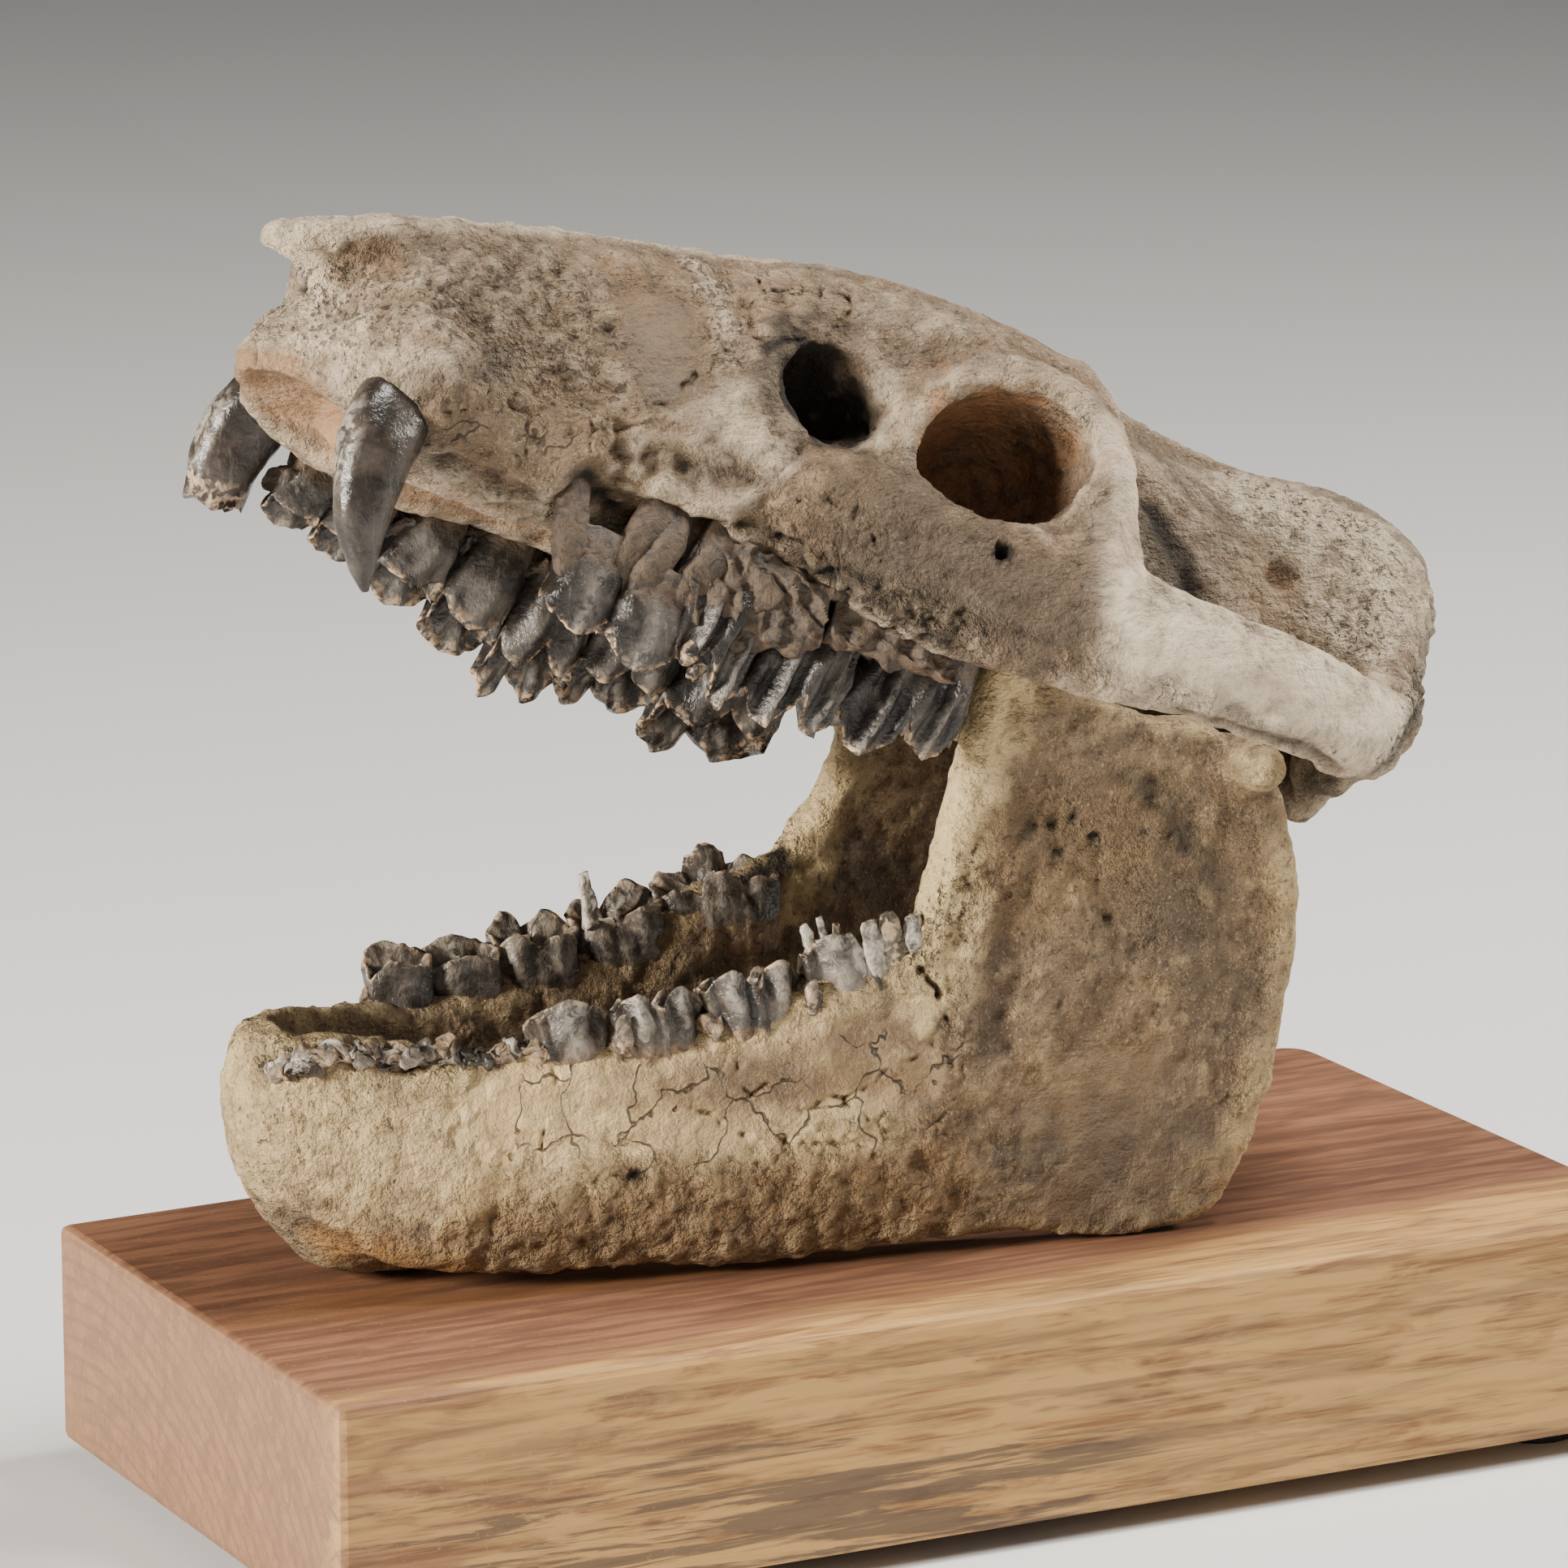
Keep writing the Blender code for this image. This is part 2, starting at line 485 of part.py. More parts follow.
def ramus(bm, side):
    """The upright plate: a filled outline, thickened, with a swollen front edge and a rolled hind one."""
    loop = RAMUS_FRONT[side] + RAMUS_REST
    count = len(loop)
    plate = bmesh.new()
    verts = []
    for i in range(count):
        span = [loop[(i + k - 1) % count] for k in range(4)]
        for f in range(3):
            verts.append(plate.verts.new(ramus_point(*spline(span, 1 + f / 3), side)))
    face = plate.faces.new(verts)
    made = bmesh.ops.extrude_face_region(plate, geom=[face])
    moved = [v for v in made["geom"] if isinstance(v, bmesh.types.BMVert)]
    bmesh.ops.translate(plate, vec=(0, RAMUS_HALF_THICKNESS, 0), verts=moved)
    bmesh.ops.translate(plate, vec=(0, -RAMUS_HALF_THICKNESS, 0), verts=[v for v in plate.verts if v not in moved])
    bmesh.ops.recalc_face_normals(plate, faces=plate.faces)
    mesh = bpy.data.meshes.new("ramus_plate")
    plate.to_mesh(mesh)
    plate.free()
    bm.from_mesh(mesh)
    bpy.data.meshes.remove(mesh)
    front = [(x + RAMUS_EDGE, z) for x, z in RAMUS_FRONT[side]]
    for edge in (front, HIND_EDGE):
        limb(bm, [(*ramus_point(x, z, side), RAMUS_EDGE, RAMUS_EDGE) for x, z in edge], up=(0, 1, 0))


def jaw_condyle(bm, side, grow=0.0):
    """The joint's knob on its neck."""
    x, y, z = CONDYLE.x, side * CONDYLE.y, CONDYLE.z - side * CONDYLE_RISE
    blob(bm, (x, y, z), CONDYLE_RADII + Vector((grow, grow, grow)), facets=2)
    thick = CONDYLE_NECK + grow
    limb(bm, [(x, y, z, thick, thick), (x + 3.5, y, z - 7, thick, thick), (x + 5.0, y, z - 15, thick, thick)], steps=1)


def mandible(surface):
    bm = bmesh.new()
    hull(bm, SYMPHYSIS)
    for side in (LEFT, RIGHT):
        limb(bm, mirrored(JAW_BAR, side), square=3.0, segments=18)
        ramus(bm, side)
        jaw_condyle(bm, side)
    bone = as_object("mandible", bm, surface)
    bone.matrix_world = MANDIBLE_POSE
    remesh(bone, BONE_VOXEL)
    trough = bmesh.new()
    limb(trough, TROUGH)
    cutter = as_object("mandible_trough", trough)
    cutter.matrix_world = MANDIBLE_POSE
    combine(bone, cutter)
    remesh(bone, BONE_VOXEL)
    smooth(bone, 4)
    decimate_to(bone, MANDIBLE_TRIANGLES)

    rows = bmesh.new()
    for side in (LEFT, RIGHT):
        cheek_teeth(rows, LOWER_CHEEK_TEETH, side, lean=-0.6)
    teeth = as_object("lower_teeth", rows)
    teeth.matrix_world = MANDIBLE_POSE
    combine(bone, teeth, "UNION", crossing=True)


# ---------------------------------------------------------------- stand


def stand(wood, rubber):
    """The block is straight in front and at its ends; its back face runs out to a rounded right corner."""
    end, side, corner = BLOCK_LENGTH / 2, BLOCK_WIDTH / 2, BLOCK_CORNER
    back = side + BLOCK_FLARE
    outline = [(-end, -side), (end, -side)]
    for k in range(7):
        turn = math.radians(15 * k)
        outline.append((end - corner * (1 - math.cos(turn)), back - corner * (1 - math.sin(turn))))
    for k in range(1, 9):
        share = k / 8
        x = (end - corner) * (1 - share) - end * share
        outline.append((x, back - BLOCK_FLARE * share + 4 * BLOCK_BOW * share * (1 - share)))
    bm = bmesh.new()
    face = bm.faces.new([bm.verts.new((x, y, 0)) for x, y in outline])
    made = bmesh.ops.extrude_face_region(bm, geom=[face])
    moved = [v for v in made["geom"] if isinstance(v, bmesh.types.BMVert)]
    bmesh.ops.translate(bm, vec=(0, 0, BLOCK_HEIGHT), verts=moved)
    block = as_object("stand_block", bm, wood)
    block.location = (0, BLOCK_Y * MM, FOOT_HEIGHT * MM)
    worn = block.modifiers.new("worn_edges", "BEVEL")
    worn.width = 1.4 * MM
    worn.segments = 2
    worn.limit_method = "ANGLE"
    worn.angle_limit = math.radians(50)
    foot_height = FOOT_HEIGHT - FIT_GAP / MM
    for k, (sx, sy) in enumerate(((-1, -1), (1, -1), (-1, 1), (1, 1)), 1):
        bm = bmesh.new()
        bmesh.ops.create_cone(
            bm, cap_ends=True, segments=18, radius1=FOOT_RADIUS - 0.8, radius2=FOOT_RADIUS, depth=foot_height
        )
        foot = as_object(f"stand_foot_{k}", bm, rubber)
        foot.location = (
            sx * (BLOCK_LENGTH / 2 - FOOT_INSET) * MM,
            (BLOCK_Y + sy * (BLOCK_WIDTH / 2 - FOOT_INSET)) * MM,
            foot_height / 2 * MM,
        )


# ---------------------------------------------------------------- assembly

for obj in list(bpy.data.objects):
    bpy.data.objects.remove(obj)

CRANIUM_POSE = (
    Matrix.Translation(JAW_JOINT * MM)
    @ Matrix.Rotation(CRANIUM_YAW, 4, "Z")
    @ Matrix.Rotation(GAPE_PITCH, 4, "Y")
    @ Matrix.Rotation(CRANIUM_ROLL, 4, "X")
)
MANDIBLE_POSE = Matrix.Translation((0, MIDLINE_Y * MM, BLOCK_TOP * MM + FIT_GAP))

stand(material("wood", (0.24, 0.12, 0.07), 0.5), material("rubber", (0.02, 0.02, 0.02), 0.7))
mandible(material("mandible_bone", (0.42, 0.34, 0.25), 0.75))
cranium(material("cranium_bone", (0.45, 0.38, 0.30), 0.75))
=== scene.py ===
"""A fossil oreodont skull with open jaws on its hardwood display block: the finished look of each piece."""

import math

import bmesh
import bpy
import numpy as np
from mathutils import Matrix, Vector, noise


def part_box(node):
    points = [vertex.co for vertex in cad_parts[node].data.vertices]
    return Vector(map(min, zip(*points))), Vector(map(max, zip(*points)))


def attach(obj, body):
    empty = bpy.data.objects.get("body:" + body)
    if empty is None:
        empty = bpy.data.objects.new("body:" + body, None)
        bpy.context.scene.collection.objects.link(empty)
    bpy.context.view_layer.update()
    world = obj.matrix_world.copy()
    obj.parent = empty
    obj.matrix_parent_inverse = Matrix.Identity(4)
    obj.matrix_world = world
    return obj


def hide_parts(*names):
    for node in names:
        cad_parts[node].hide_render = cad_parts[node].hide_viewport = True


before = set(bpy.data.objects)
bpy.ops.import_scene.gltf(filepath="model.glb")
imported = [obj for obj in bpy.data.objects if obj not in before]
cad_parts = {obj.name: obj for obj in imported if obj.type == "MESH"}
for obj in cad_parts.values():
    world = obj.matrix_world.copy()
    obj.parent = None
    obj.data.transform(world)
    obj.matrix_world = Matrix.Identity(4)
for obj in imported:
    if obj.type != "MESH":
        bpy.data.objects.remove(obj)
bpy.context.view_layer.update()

# ---------------------------------------------------------------- cranium
# The upper part of the skull is one fossil bone, crushed a little askew and filled with stone. It is welded
# from overlapping lofts in its own frame, in millimetres: x runs back from the snout, y to the animal's right
# and z up, from a point midway between the jaw joints. It rests on the jaw at those joints.

MM = 0.001
LEFT, RIGHT = -1, 1
MIDLINE_Y = 1.4
CRANIUM_POSE = (
    Matrix.Translation((50.2 * MM, MIDLINE_Y * MM, 106.1 * MM))
    @ Matrix.Rotation(math.radians(1.5), 4, "Z")
    @ Matrix.Rotation(math.radians(25.0), 4, "Y")
    @ Matrix.Rotation(math.radians(-8.5), 4, "X")
    @ Matrix.Scale(MM, 4)
)
WELD_VOXEL, CRANIUM_VOXEL = 1.2, 1.1  # the first joins the bodies, the second makes the skin
noise.seed_set(7)  # so that the roughness of the pieces is the same on every run


def spline(values, t):
    """Catmull-Rom interpolation of a list of equal-length tuples, t running from 0 to len(values) - 1."""
    i = min(int(t), len(values) - 2)
    f = t - i
    p0 = values[max(i - 1, 0)]
    p1, p2 = values[i], values[i + 1]
    p3 = values[min(i + 2, len(values) - 1)]
    return [
        0.5 * (2 * b + (c - a) * f + (2 * a - 5 * b + 4 * c - d) * f**2 + (3 * b - a - 3 * c + d) * f**3)
        for a, b, c, d in zip(p0, p1, p2, p3)
    ]


def power(value, exponent):
    """The value's size raised to the exponent, with its sign kept."""
    return math.copysign(abs(value) ** exponent, value)


def edges_of(verts):
    """The edges at those vertices, each once and in a fixed order."""
    return list(dict.fromkeys(e for v in verts for e in v.link_edges))


def ring(bm, place, segments):
    """A loop of vertices: place(angle) gives each one's position. Returns its edges."""
    verts = bmesh.ops.create_circle(bm, segments=segments, radius=1.0)["verts"]
    for v in verts:
        v.co = place(math.atan2(v.co.y, v.co.x))
    return edges_of(verts)


def loft(bm, rings):
    """Bridges the loops in turn, caps both ends and returns the vertices."""
    for near, far in zip(rings, rings[1:]):
        bmesh.ops.bridge_loops(bm, edges=near + far)
    for end in (rings[0], rings[-1]):
        bmesh.ops.contextual_create(bm, geom=end)
    return list(dict.fromkeys(v for edges in rings for e in edges for v in e.verts))


def hull(bm, stations, steps=4, segments=36):
    """A body lofted along x. A station is (x, top, bottom, waist height, half width, top power, bottom
    power): a power of 2 is an ellipse, more is squarer, less is sharper."""

    def section(x, top, bottom, waist, half_width, top_power, bottom_power):
        def place(angle):
            c, s = math.cos(angle), math.sin(angle)
            n = top_power if s > 0 else bottom_power
            rise = (top - waist) if s > 0 else (waist - bottom)
            return Vector((x, half_width * power(c, 2 / n), waist + rise * power(s, 2 / n)))

        return place

    spans = len(stations) - 1
    loft(bm, [ring(bm, section(*spline(stations, k / steps)), segments) for k in range(spans * steps + 1)])


def limb(bm, stations, up=(0, 0, 1), steps=4, segments=18, square=2.0):
    """A bar swept through stations of (x, y, z, half thickness, half height); height runs towards up."""
    spans = len(stations) - 1
    count = spans * steps + 1
    points = [spline(stations, k / steps) for k in range(count)]
    rings = []
    for k, (x, y, z, across, high) in enumerate(points):
        ahead, behind = points[min(k + 1, count - 1)], points[max(k - 1, 0)]
        along = (Vector(ahead[:3]) - Vector(behind[:3])).normalized()
        side = Vector(up).cross(along).normalized()
        rise = along.cross(side)

        def place(angle, centre=Vector((x, y, z)), side=side, rise=rise, across=across, high=high):
            c, s = power(math.cos(angle), 2 / square), power(math.sin(angle), 2 / square)
            return centre + side * (across * c) + rise * (high * s)

        rings.append(ring(bm, place, segments))
    return loft(bm, rings)


def blob(bm, centre, radii, turn=None):
    """An ellipsoid."""
    matrix = Matrix.Translation(centre) @ (turn or Matrix()) @ Matrix.Diagonal((*radii, 1))
    return bmesh.ops.create_icosphere(bm, subdivisions=4, radius=1.0, matrix=matrix)["verts"]


def mirrored(stations, side):
    """The stations of a left or right bar, from those written with y as the distance from the midline."""
    return [(x, side * y, *rest) for x, y, *rest in stations]


def mesh_of(name, bm):
    """The built shape as a mesh."""
    mesh = bpy.data.meshes.new(name)
    bm.to_mesh(mesh)
    bm.free()
    return mesh


def placed(name, data):
    """A new object of that mesh, lamp or camera, in the scene."""
    obj = bpy.data.objects.new(name, data)
    bpy.context.scene.collection.objects.link(obj)
    return obj


def finished(name, mesh, material):
    """A smooth piece of one material, which stands with the whole object."""
    mesh.polygons.foreach_set("use_smooth", [True] * len(mesh.polygons))
    mesh.materials.clear()
    mesh.materials.append(material)
    piece = placed(name, mesh)
    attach(piece, "root")
    return piece


def weld(name, bodies, hollows, voxel, turns):
    """Welds the overlapping bodies into one skin, opens the hollows and wears the edges round by
    smoothing them that many turns."""
    for bm in (bodies, hollows):
        bmesh.ops.recalc_face_normals(bm, faces=bm.faces)
    solid = placed(name, mesh_of(name, bodies))
    cutter = placed(name + "_hollows", mesh_of(name + "_hollows", hollows))
    for part in (solid, cutter):
        modifier = part.modifiers.new("weld", "REMESH")
        modifier.mode, modifier.voxel_size = "VOXEL", WELD_VOXEL
    modifier = solid.modifiers.new("hollow", "BOOLEAN")
    modifier.operation, modifier.solver, modifier.object = "DIFFERENCE", "EXACT", cutter
    modifier = solid.modifiers.new("skin", "REMESH")
    modifier.mode, modifier.voxel_size = "VOXEL", voxel
    modifier = solid.modifiers.new("wear", "SMOOTH")
    modifier.factor, modifier.iterations = 0.5, turns
    bpy.context.view_layer.update()
    graph = bpy.context.evaluated_depsgraph_get()
    mesh = bpy.data.meshes.new_from_object(solid.evaluated_get(graph))
    for used in (solid, cutter):
        bpy.data.objects.remove(used)
    return mesh


FACE = [  # x, top, bottom, waist, half width, top power, bottom power
    (-166, 6, -1, 2.5, 3.5, 2, 2.4),
    (-163, 8.5, -2.5, 2.5, 8, 2, 2.6),
    (-159.5, 11.5, -3.5, 3, 13, 2, 3),
    (-156, 19, -4.5, 3.5, 18, 1.9, 3.2),
    (-152, 27, -5.5, 4, 21.5, 1.9, 3.2),
    (-143, 31.5, -8, 4, 22.5, 2, 3.4),
    (-131, 35, -9, 4, 24, 2.1, 3.6),
    (-119, 38, -7.5, 4.5, 26.5, 2.2, 3.6),
    (-107, 41, -6, 6, 28.5, 2.3, 3.6),
    (-95, 43.8, -6, 8, 30.5, 2.5, 3.8),
    (-83, 46.8, -7, 10, 31.5, 2.7, 4),
    (-71, 48.2, -7, 12, 32, 3, 4.2),
    (-59, 48.6, -6.5, 14, 30, 3, 4.2),
    (-50, 48.2, -4, 16, 26, 2.8, 3.6),
    (-43, 46.5, 2, 20, 19, 2.4, 3),
]
NARIS_FILL = [  # the stone left in the nose opening
    (-161.5, 20, 8, 14, 4, 2, 2),
    (-158.5, 23, 3, 14, 8.5, 2, 2),
    (-152, 26, 2, 14, 14, 2, 2),
]
FRONTAL_ROOF = [
    (-92, 44, 26, 36, 22, 2.4, 2),
    (-80, 46.6, 28, 38, 27, 2.4, 2.2),
    (-68, 47.6, 31, 39.5, 31, 2.3, 2.4),
    (-57, 47.6, 33, 40, 33, 2.2, 2.4),
    (-50, 47.2, 34, 40.5, 32, 2.1, 2.4),
    (-44, 46.6, 34, 40.5, 26, 2, 2.2),
    (-38, 46.6, 32, 40, 18, 2, 2),
    (-30, 45.5, 30, 38, 10, 2, 2),
]
BRAINCASE = [
    (-58, 45, 0, 22, 15, 2.4, 2.6),
    (-46, 45, -1, 20, 15.5, 2.2, 2.6),
    (-34, 44, -2, 19, 18, 1.9, 2.6),
    (-22, 43, -3, 18, 22, 1.7, 2.6),
    (-10, 42.5, -3.5, 17, 26, 1.6, 2.4),
    (2, 43, -4, 16, 28, 1.6, 2.4),
    (14, 44, -4, 16, 28, 1.8, 2.4),
    (25, 44, -2, 16, 24, 2, 2.4),
]
CREST = [  # x, y, z, half thickness, half height
    (-40, 0, 42, 9, 5.5),
    (-26, 0, 41.2, 4.5, 5.2),
    (-10, 0, 40.5, 3.2, 4.8),
    (4, 0, 40.5, 3.4, 4.6),
    (18, 0, 41.5, 5, 4.6),
    (29, 0, 40.5, 6, 4.6),
]
NUCHAL_BLOCK = [
    (-4, 43.5, 0, 14, 24, 1.8, 2.4),
    (5, 45, -2, 14, 29.5, 2, 2.4),
    (12, 46, -4, 14, 34.5, 2.1, 2.2),
    (18.5, 46.2, -4, 15, 35.5, 2.2, 2.1),
    (24, 45.5, -2, 17, 33, 2.3, 2),
    (28.5, 44, 2, 19, 27.5, 2.4, 2),
    (32, 41.5, 6, 21, 20, 2.3, 2),
    (34, 37.5, 11, 24, 12, 2, 2),
]
SKULL_BASE = [
    (-52, 6, -5, 0, 12, 2, 2.4),
    (-36, 6, -7, 0, 10, 2, 2.2),
    (-18, 6, -7, 0, 11, 2, 2.2),
    (0, 6, -6.5, 0, 12, 2, 2.2),
    (16, 8, -5.5, 0, 12, 2, 2.2),
    (28, 10, -2.5, 3, 11, 2, 2.2),
]
# Bars of each side: (x, distance from the midline, z, half thickness, half height).
NASAL_BONE = [
    (-166.4, 3, 19.9, 3.4, 2.4),
    (-161, 4.6, 21.9, 5, 2.8),
    (-152, 5.6, 26.6, 5.6, 2.2),
    (-138, 5.6, 29.4, 5.2, 2.2),
]
ZYGOMATIC_ARCH = [
    (-100, 21, 8.5, 5, 6),
    (-90, 26.5, 8, 6, 8.5),
    (-80, 33, 6.6, 6.5, 10.8),
    (-69, 39, 5.3, 5.6, 11.7),
    (-57, 44.5, 4.3, 4.5, 11.5),
    (-44, 48.5, 4.6, 4.2, 10.5),
    (-30, 51, 5.2, 4, 9.3),
    (-16, 52, 5.4, 4, 8.6),
    (-4, 50.5, 5.6, 4.5, 8),
    (6, 45.5, 6, 6, 8),
    (14, 38, 9, 6.5, 8),
    (21, 29, 14, 6.5, 8.5),
]
POSTORBITAL_BAR = [
    (-50, 27, 41.5, 4, 5.5),
    (-48.5, 34, 37, 3.6, 5),
    (-46.5, 40.5, 30, 3.2, 4.6),
    (-46, 45, 21, 3.2, 5.2),
    (-46, 47.5, 11, 3.6, 8),
]
ORBIT_CENTRE, ORBIT_LONG, ORBIT_HIGH, ORBIT_DEPTH = Vector((-61.5, 36.0, 23.6)), 13.6, 10.8, 21.0
ORBIT_FORWARD, ORBIT_UP, ORBIT_TILT = (math.radians(a) for a in (20.0, 8.0, 24.0))
CONDYLE = Vector((48.5, 34.0, 66.5))  # in the mandible's frame
CONDYLE_RADII, CONDYLE_NECK = Vector((5.0, 10.5, 4.4)), 3.6
CONDYLE_RISE = 5.0  # the left jaw joint is this much higher than the midline one, and the right lower
JOINT_SPACE = 1.0
CANINE_SOCKET = [(-143.0, 10.0, 13.0, 5.0, 5.6), (-147.6, 16.8, 6.8, 6.4, 7.8), (-150.8, 20.0, 0.4, 5.8, 7.4)]
MANDIBLE_POSE = Matrix.Translation((0, MIDLINE_Y * MM, 37.8 * MM)) @ Matrix.Scale(MM, 4)


def orbit_frame(side):
    """x along the orbit's long axis, y out of it, z towards its roof."""
    turn = Matrix.Rotation(side * ORBIT_FORWARD, 4, "Z") @ Matrix.Rotation(side * ORBIT_UP, 4, "X")
    turn = turn @ Matrix.Rotation(-ORBIT_TILT, 4, "Y")
    centre = Vector((ORBIT_CENTRE.x, side * ORBIT_CENTRE.y, ORBIT_CENTRE.z))
    return Matrix.Translation(centre) @ turn


def orbit_rim(bm, side, tube=3.6, segments=40):
    """The raised ring round the eye socket."""
    place_in = orbit_frame(side)
    rings = []
    for k in range(segments):
        turn = 2 * math.pi * k / segments
        out = Vector((math.cos(turn), 0, math.sin(turn)))
        long, high = ORBIT_LONG + 0.6 * tube, ORBIT_HIGH + 0.6 * tube
        centre = Vector((math.cos(turn) * long, 0, math.sin(turn) * high))

        def place(angle, centre=centre, out=out):
            return place_in @ (centre + out * tube * math.cos(angle) + Vector((0, tube * math.sin(angle), 0)))

        rings.append(ring(bm, place, 12))
    for near, far in zip(rings, rings[1:] + rings[:1]):
        bmesh.ops.bridge_loops(bm, edges=near + far)


def jaw_condyle(bm, side, grow=0.0, into=Matrix()):
    """The joint's knob on its neck."""
    x, y, z = CONDYLE.x, side * CONDYLE.y, CONDYLE.z - side * CONDYLE_RISE
    knob = blob(bm, (x, y, z), CONDYLE_RADII + Vector((grow, grow, grow)))
    bmesh.ops.transform(bm, matrix=into, verts=knob)
    thick = CONDYLE_NECK + grow
    neck = [(x + back, y, z - down, thick, thick) for back, down in ((0.0, 0.0), (3.5, 7.0), (5.0, 15.0))]
    bmesh.ops.transform(bm, matrix=into, verts=limb(bm, neck, steps=2))


bodies = bmesh.new()
for stations in (FACE, NARIS_FILL, FRONTAL_ROOF, BRAINCASE, NUCHAL_BLOCK, SKULL_BASE):
    hull(bodies, stations)
limb(bodies, CREST)
for side in (LEFT, RIGHT):
    limb(bodies, mirrored(NASAL_BONE, side))
    limb(bodies, mirrored(ZYGOMATIC_ARCH, side), square=2.3, steps=6)
    limb(bodies, mirrored(POSTORBITAL_BAR, side), up=(1, 0, 0))
    orbit_rim(bodies, side)
    blob(bodies, (-57.0, side * 22.0, 23.0), (15.0, 14.0, 17.0))  # the eye socket's inner wall
    blob(bodies, (-62.0, side * 34.0, 8.5), (14.0, 11.0, 8.5))  # its floor
    blob(bodies, (-50.0, side * 33.0, 25.0), (5.0, 11.0, 12.0))  # its hind wall
    blob(bodies, (-148.5, side * 18.2, 7.0), (8.6, 8.2, 8.6))  # the canine's root swelling
    limb(bodies, mirrored(CANINE_SOCKET, side), up=(1, 0, 0))  # and the rim of its socket
    blob(bodies, (28.0, side * 8.5, 6.0), (6.0, 6.0, 7.0))  # occipital condyle
    blob(bodies, (2.0, side * 17.0, -4.0), (9.0, 6.5, 6.5))  # ear bulla
    behind_joint = [(9.0, 36.0, 6.0, 8.0, 4.0), (10.0, 36.0, -4.0, 6.5, 2.2)]
    behind_ear = [(14.0, 27.0, 2.0, 6.0, 5.0), (13.0, 25.5, -7.0, 3.0, 3.5)]
    palate_wing = [(-50.0, 11.5, -4.0, 2.4, 5.0), (-30.0, 9.5, -6.0, 2.2, 5.0), (-14.0, 9.0, -4.0, 2, 3)]
    limb(bodies, mirrored(behind_joint, side), up=(1, 0, 0))
    limb(bodies, mirrored(behind_ear, side), up=(1, 0, 0))
    limb(bodies, mirrored(palate_wing, side))
hollows = bmesh.new()
for side in (LEFT, RIGHT):
    socket = orbit_frame(side)
    blob(hollows, socket.to_translation(), (ORBIT_LONG, ORBIT_DEPTH, ORBIT_HIGH), socket.to_3x3().to_4x4())
    blob(hollows, (-88.5, side * 40.0, 25.5), (12.4, 16.5, 10.2))  # the pit before the eye: its dish
    blob(hollows, (-90.5, side * 26.5, 26.5), (5.0, 10.0, 5.2))  # and its bottom
    blob(hollows, (-85.0, side * 28.0, 23.0), (6.2, 11.0, 5.6))
    blob(hollows, (38.5, side * 11.5, 27.0), (7.0, 9.5, 11.0))  # hollow of the occiput's back
    jaw_condyle(hollows, side, grow=JOINT_SPACE, into=CRANIUM_POSE.inverted() @ MANDIBLE_POSE)
blob(hollows, (-100.0, 0.0, -14.0), (58.0, 16.5, 13.0))  # palate vault
blob(hollows, (-157.0, 0.0, -8.0), (13.2, 14.8, 10.2))  # the arch between the canines
blob(hollows, (-28.0, 0.0, -12.0), (18.0, 6.5, 10.0))  # inner nostrils
blob(hollows, (36.0, 0.0, 10.0), (12.0, 6.0, 5.5))  # foramen magnum
cranium_mesh = weld("cranium_bone", bodies, hollows, CRANIUM_VOXEL, turns=5)
